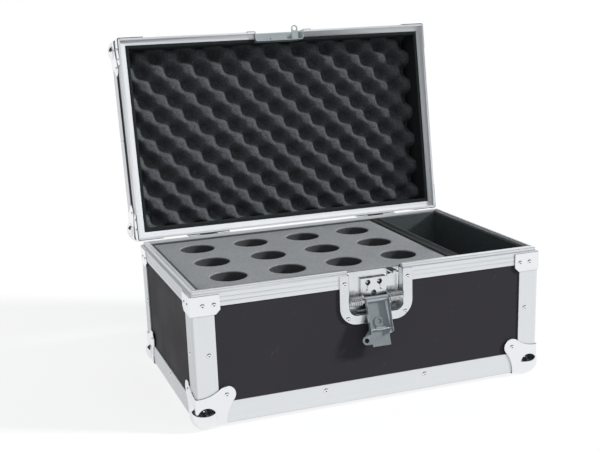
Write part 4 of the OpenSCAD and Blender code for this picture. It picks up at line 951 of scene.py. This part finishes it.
def makeFloor(look):
    half = look["floorHalf"]
    mesh = bpy.data.meshes.new("floor")
    corners = [(-half, -half, 0), (half, -half, 0), (half, half, 0), (-half, half, 0)]
    mesh.from_pydata(corners, [], [(0, 1, 2, 3)])
    floor = linkMesh("floor", mesh)
    material = bpy.data.materials.new("paleFloor")
    material.use_nodes = True
    tree = material.node_tree
    tree.nodes.clear()
    matt = put(tree, "ShaderNodeBsdfDiffuse", {"Color": (*look["floorDiffuse"], 1.0)})
    ray = put(tree, "ShaderNodeLightPath").outputs
    seen = calc(tree, "MAXIMUM", calc(tree, "MAXIMUM", ray["Is Camera Ray"], ray["Is Glossy Ray"]),
                ray["Is Transmission Ray"])
    share = calc(tree, "MULTIPLY_ADD", seen, 1.0 - look["floorGlowOnPieces"], look["floorGlowOnPieces"])
    glow = put(tree, "ShaderNodeEmission", {"Strength": calc(tree, "MULTIPLY", share, look["floorGlow"])})
    both = put(tree, "ShaderNodeAddShader", {0: matt.outputs[0], 1: glow.outputs[0]})
    output = put(tree, "ShaderNodeOutputMaterial", {0: both.outputs[0]})
    mesh.materials.append(material)


def makeWorld(look):
    # a white tent over and behind the case, open to the dark room at the front
    world = bpy.data.worlds.new("studio")
    bpy.context.scene.world = world
    world.use_nodes = True
    tree = world.node_tree
    tree.nodes.clear()
    way = put(tree, "ShaderNodeTexCoord").outputs["Generated"]

    def along(direction):
        sockets = {0: way, 1: direction}
        return put(tree, "ShaderNodeVectorMath", sockets, operation="DOT_PRODUCT").outputs["Value"]

    dark = remap(tree, along(look["roomMiddle"]), look["roomEdge"], look["roomEdge"] + 0.03)
    things = remap(tree, noiseAt(tree, way, 4.0, 3.0), 0.5, 0.7)
    room = blendColour(tree, things, (*look["roomDark"], 1.0), (*look["roomLight"], 1.0))
    lamp = remap(tree, along(towards(look["lampAzimuth"], look["lampElevation"])), 0.996, 0.999)
    room = blendColour(tree, lamp, room, (1.6, 1.6, 1.6, 1.0))
    mirrored = blendColour(tree, dark, (1.0, 1.0, 1.0, 1.0), room)
    ray = put(tree, "ShaderNodeLightPath").outputs
    glossy = calc(tree, "MAXIMUM", ray["Is Glossy Ray"], ray["Is Transmission Ray"])
    shown = blendColour(tree, glossy, (1.0, 1.0, 1.0, 1.0), mirrored)
    seen = calc(tree, "MAXIMUM", ray["Is Camera Ray"], glossy)
    colour = blendColour(tree, seen, (*look["ambient"], 1.0), shown)
    strength = calc(tree, "MULTIPLY_ADD", seen, 1.0 - look["ambientStrength"], look["ambientStrength"])
    background = put(tree, "ShaderNodeBackground", {"Color": colour, "Strength": strength})
    put(tree, "ShaderNodeOutputWorld", {0: background.outputs[0]})


def makeSun(name, strength, azimuth, elevation, angle):
    lamp = bpy.data.lights.new(name, "SUN")
    lamp.energy = strength
    lamp.angle = math.radians(angle)
    obj = bpy.data.objects.new(name, lamp)
    bpy.context.scene.collection.objects.link(obj)
    obj.rotation_euler = towards(azimuth, elevation).to_track_quat("Z", "Y").to_euler()
    obj.visible_glossy = False


makeFloor(studio)
makeWorld(studio)
for lamp in ("key", "fill"):
    makeSun(lamp + "Light", *(studio[lamp + part] for part in ("Strength", "Azimuth", "Elevation", "Angle")))

camera = {"position": (-0.5218, -1.3807, 0.5419), "yaw": 19.58, "pitch": -15.48, "roll": -2.01, "lens": 60.73,
          "shiftY": 0.078}


def makeCamera(look):
    yaw, pitch, roll = (math.radians(look[k]) for k in ("yaw", "pitch", "roll"))
    ahead = Vector((math.sin(yaw) * math.cos(pitch), math.cos(yaw) * math.cos(pitch), math.sin(pitch)))
    right = ahead.cross(Vector((0, 0, 1))).normalized()
    up = right.cross(ahead)
    c, s = math.cos(roll), math.sin(roll)
    right, up = right * c + up * s, up * c - right * s
    lensData = bpy.data.cameras.new("camera")
    lensData.lens = look["lens"]
    lensData.sensor_width = 36.0
    lensData.shift_y = look["shiftY"]
    lensData.clip_start = 0.05
    obj = bpy.data.objects.new("camera", lensData)
    turn = Matrix((right, up, -ahead)).transposed().to_4x4()
    obj.matrix_world = Matrix.Translation(look["position"]) @ turn
    bpy.context.scene.collection.objects.link(obj)
    bpy.context.scene.camera = obj


makeCamera(camera)
bpy.context.scene.view_settings.view_transform = "Standard"

bpy.context.view_layer.update()
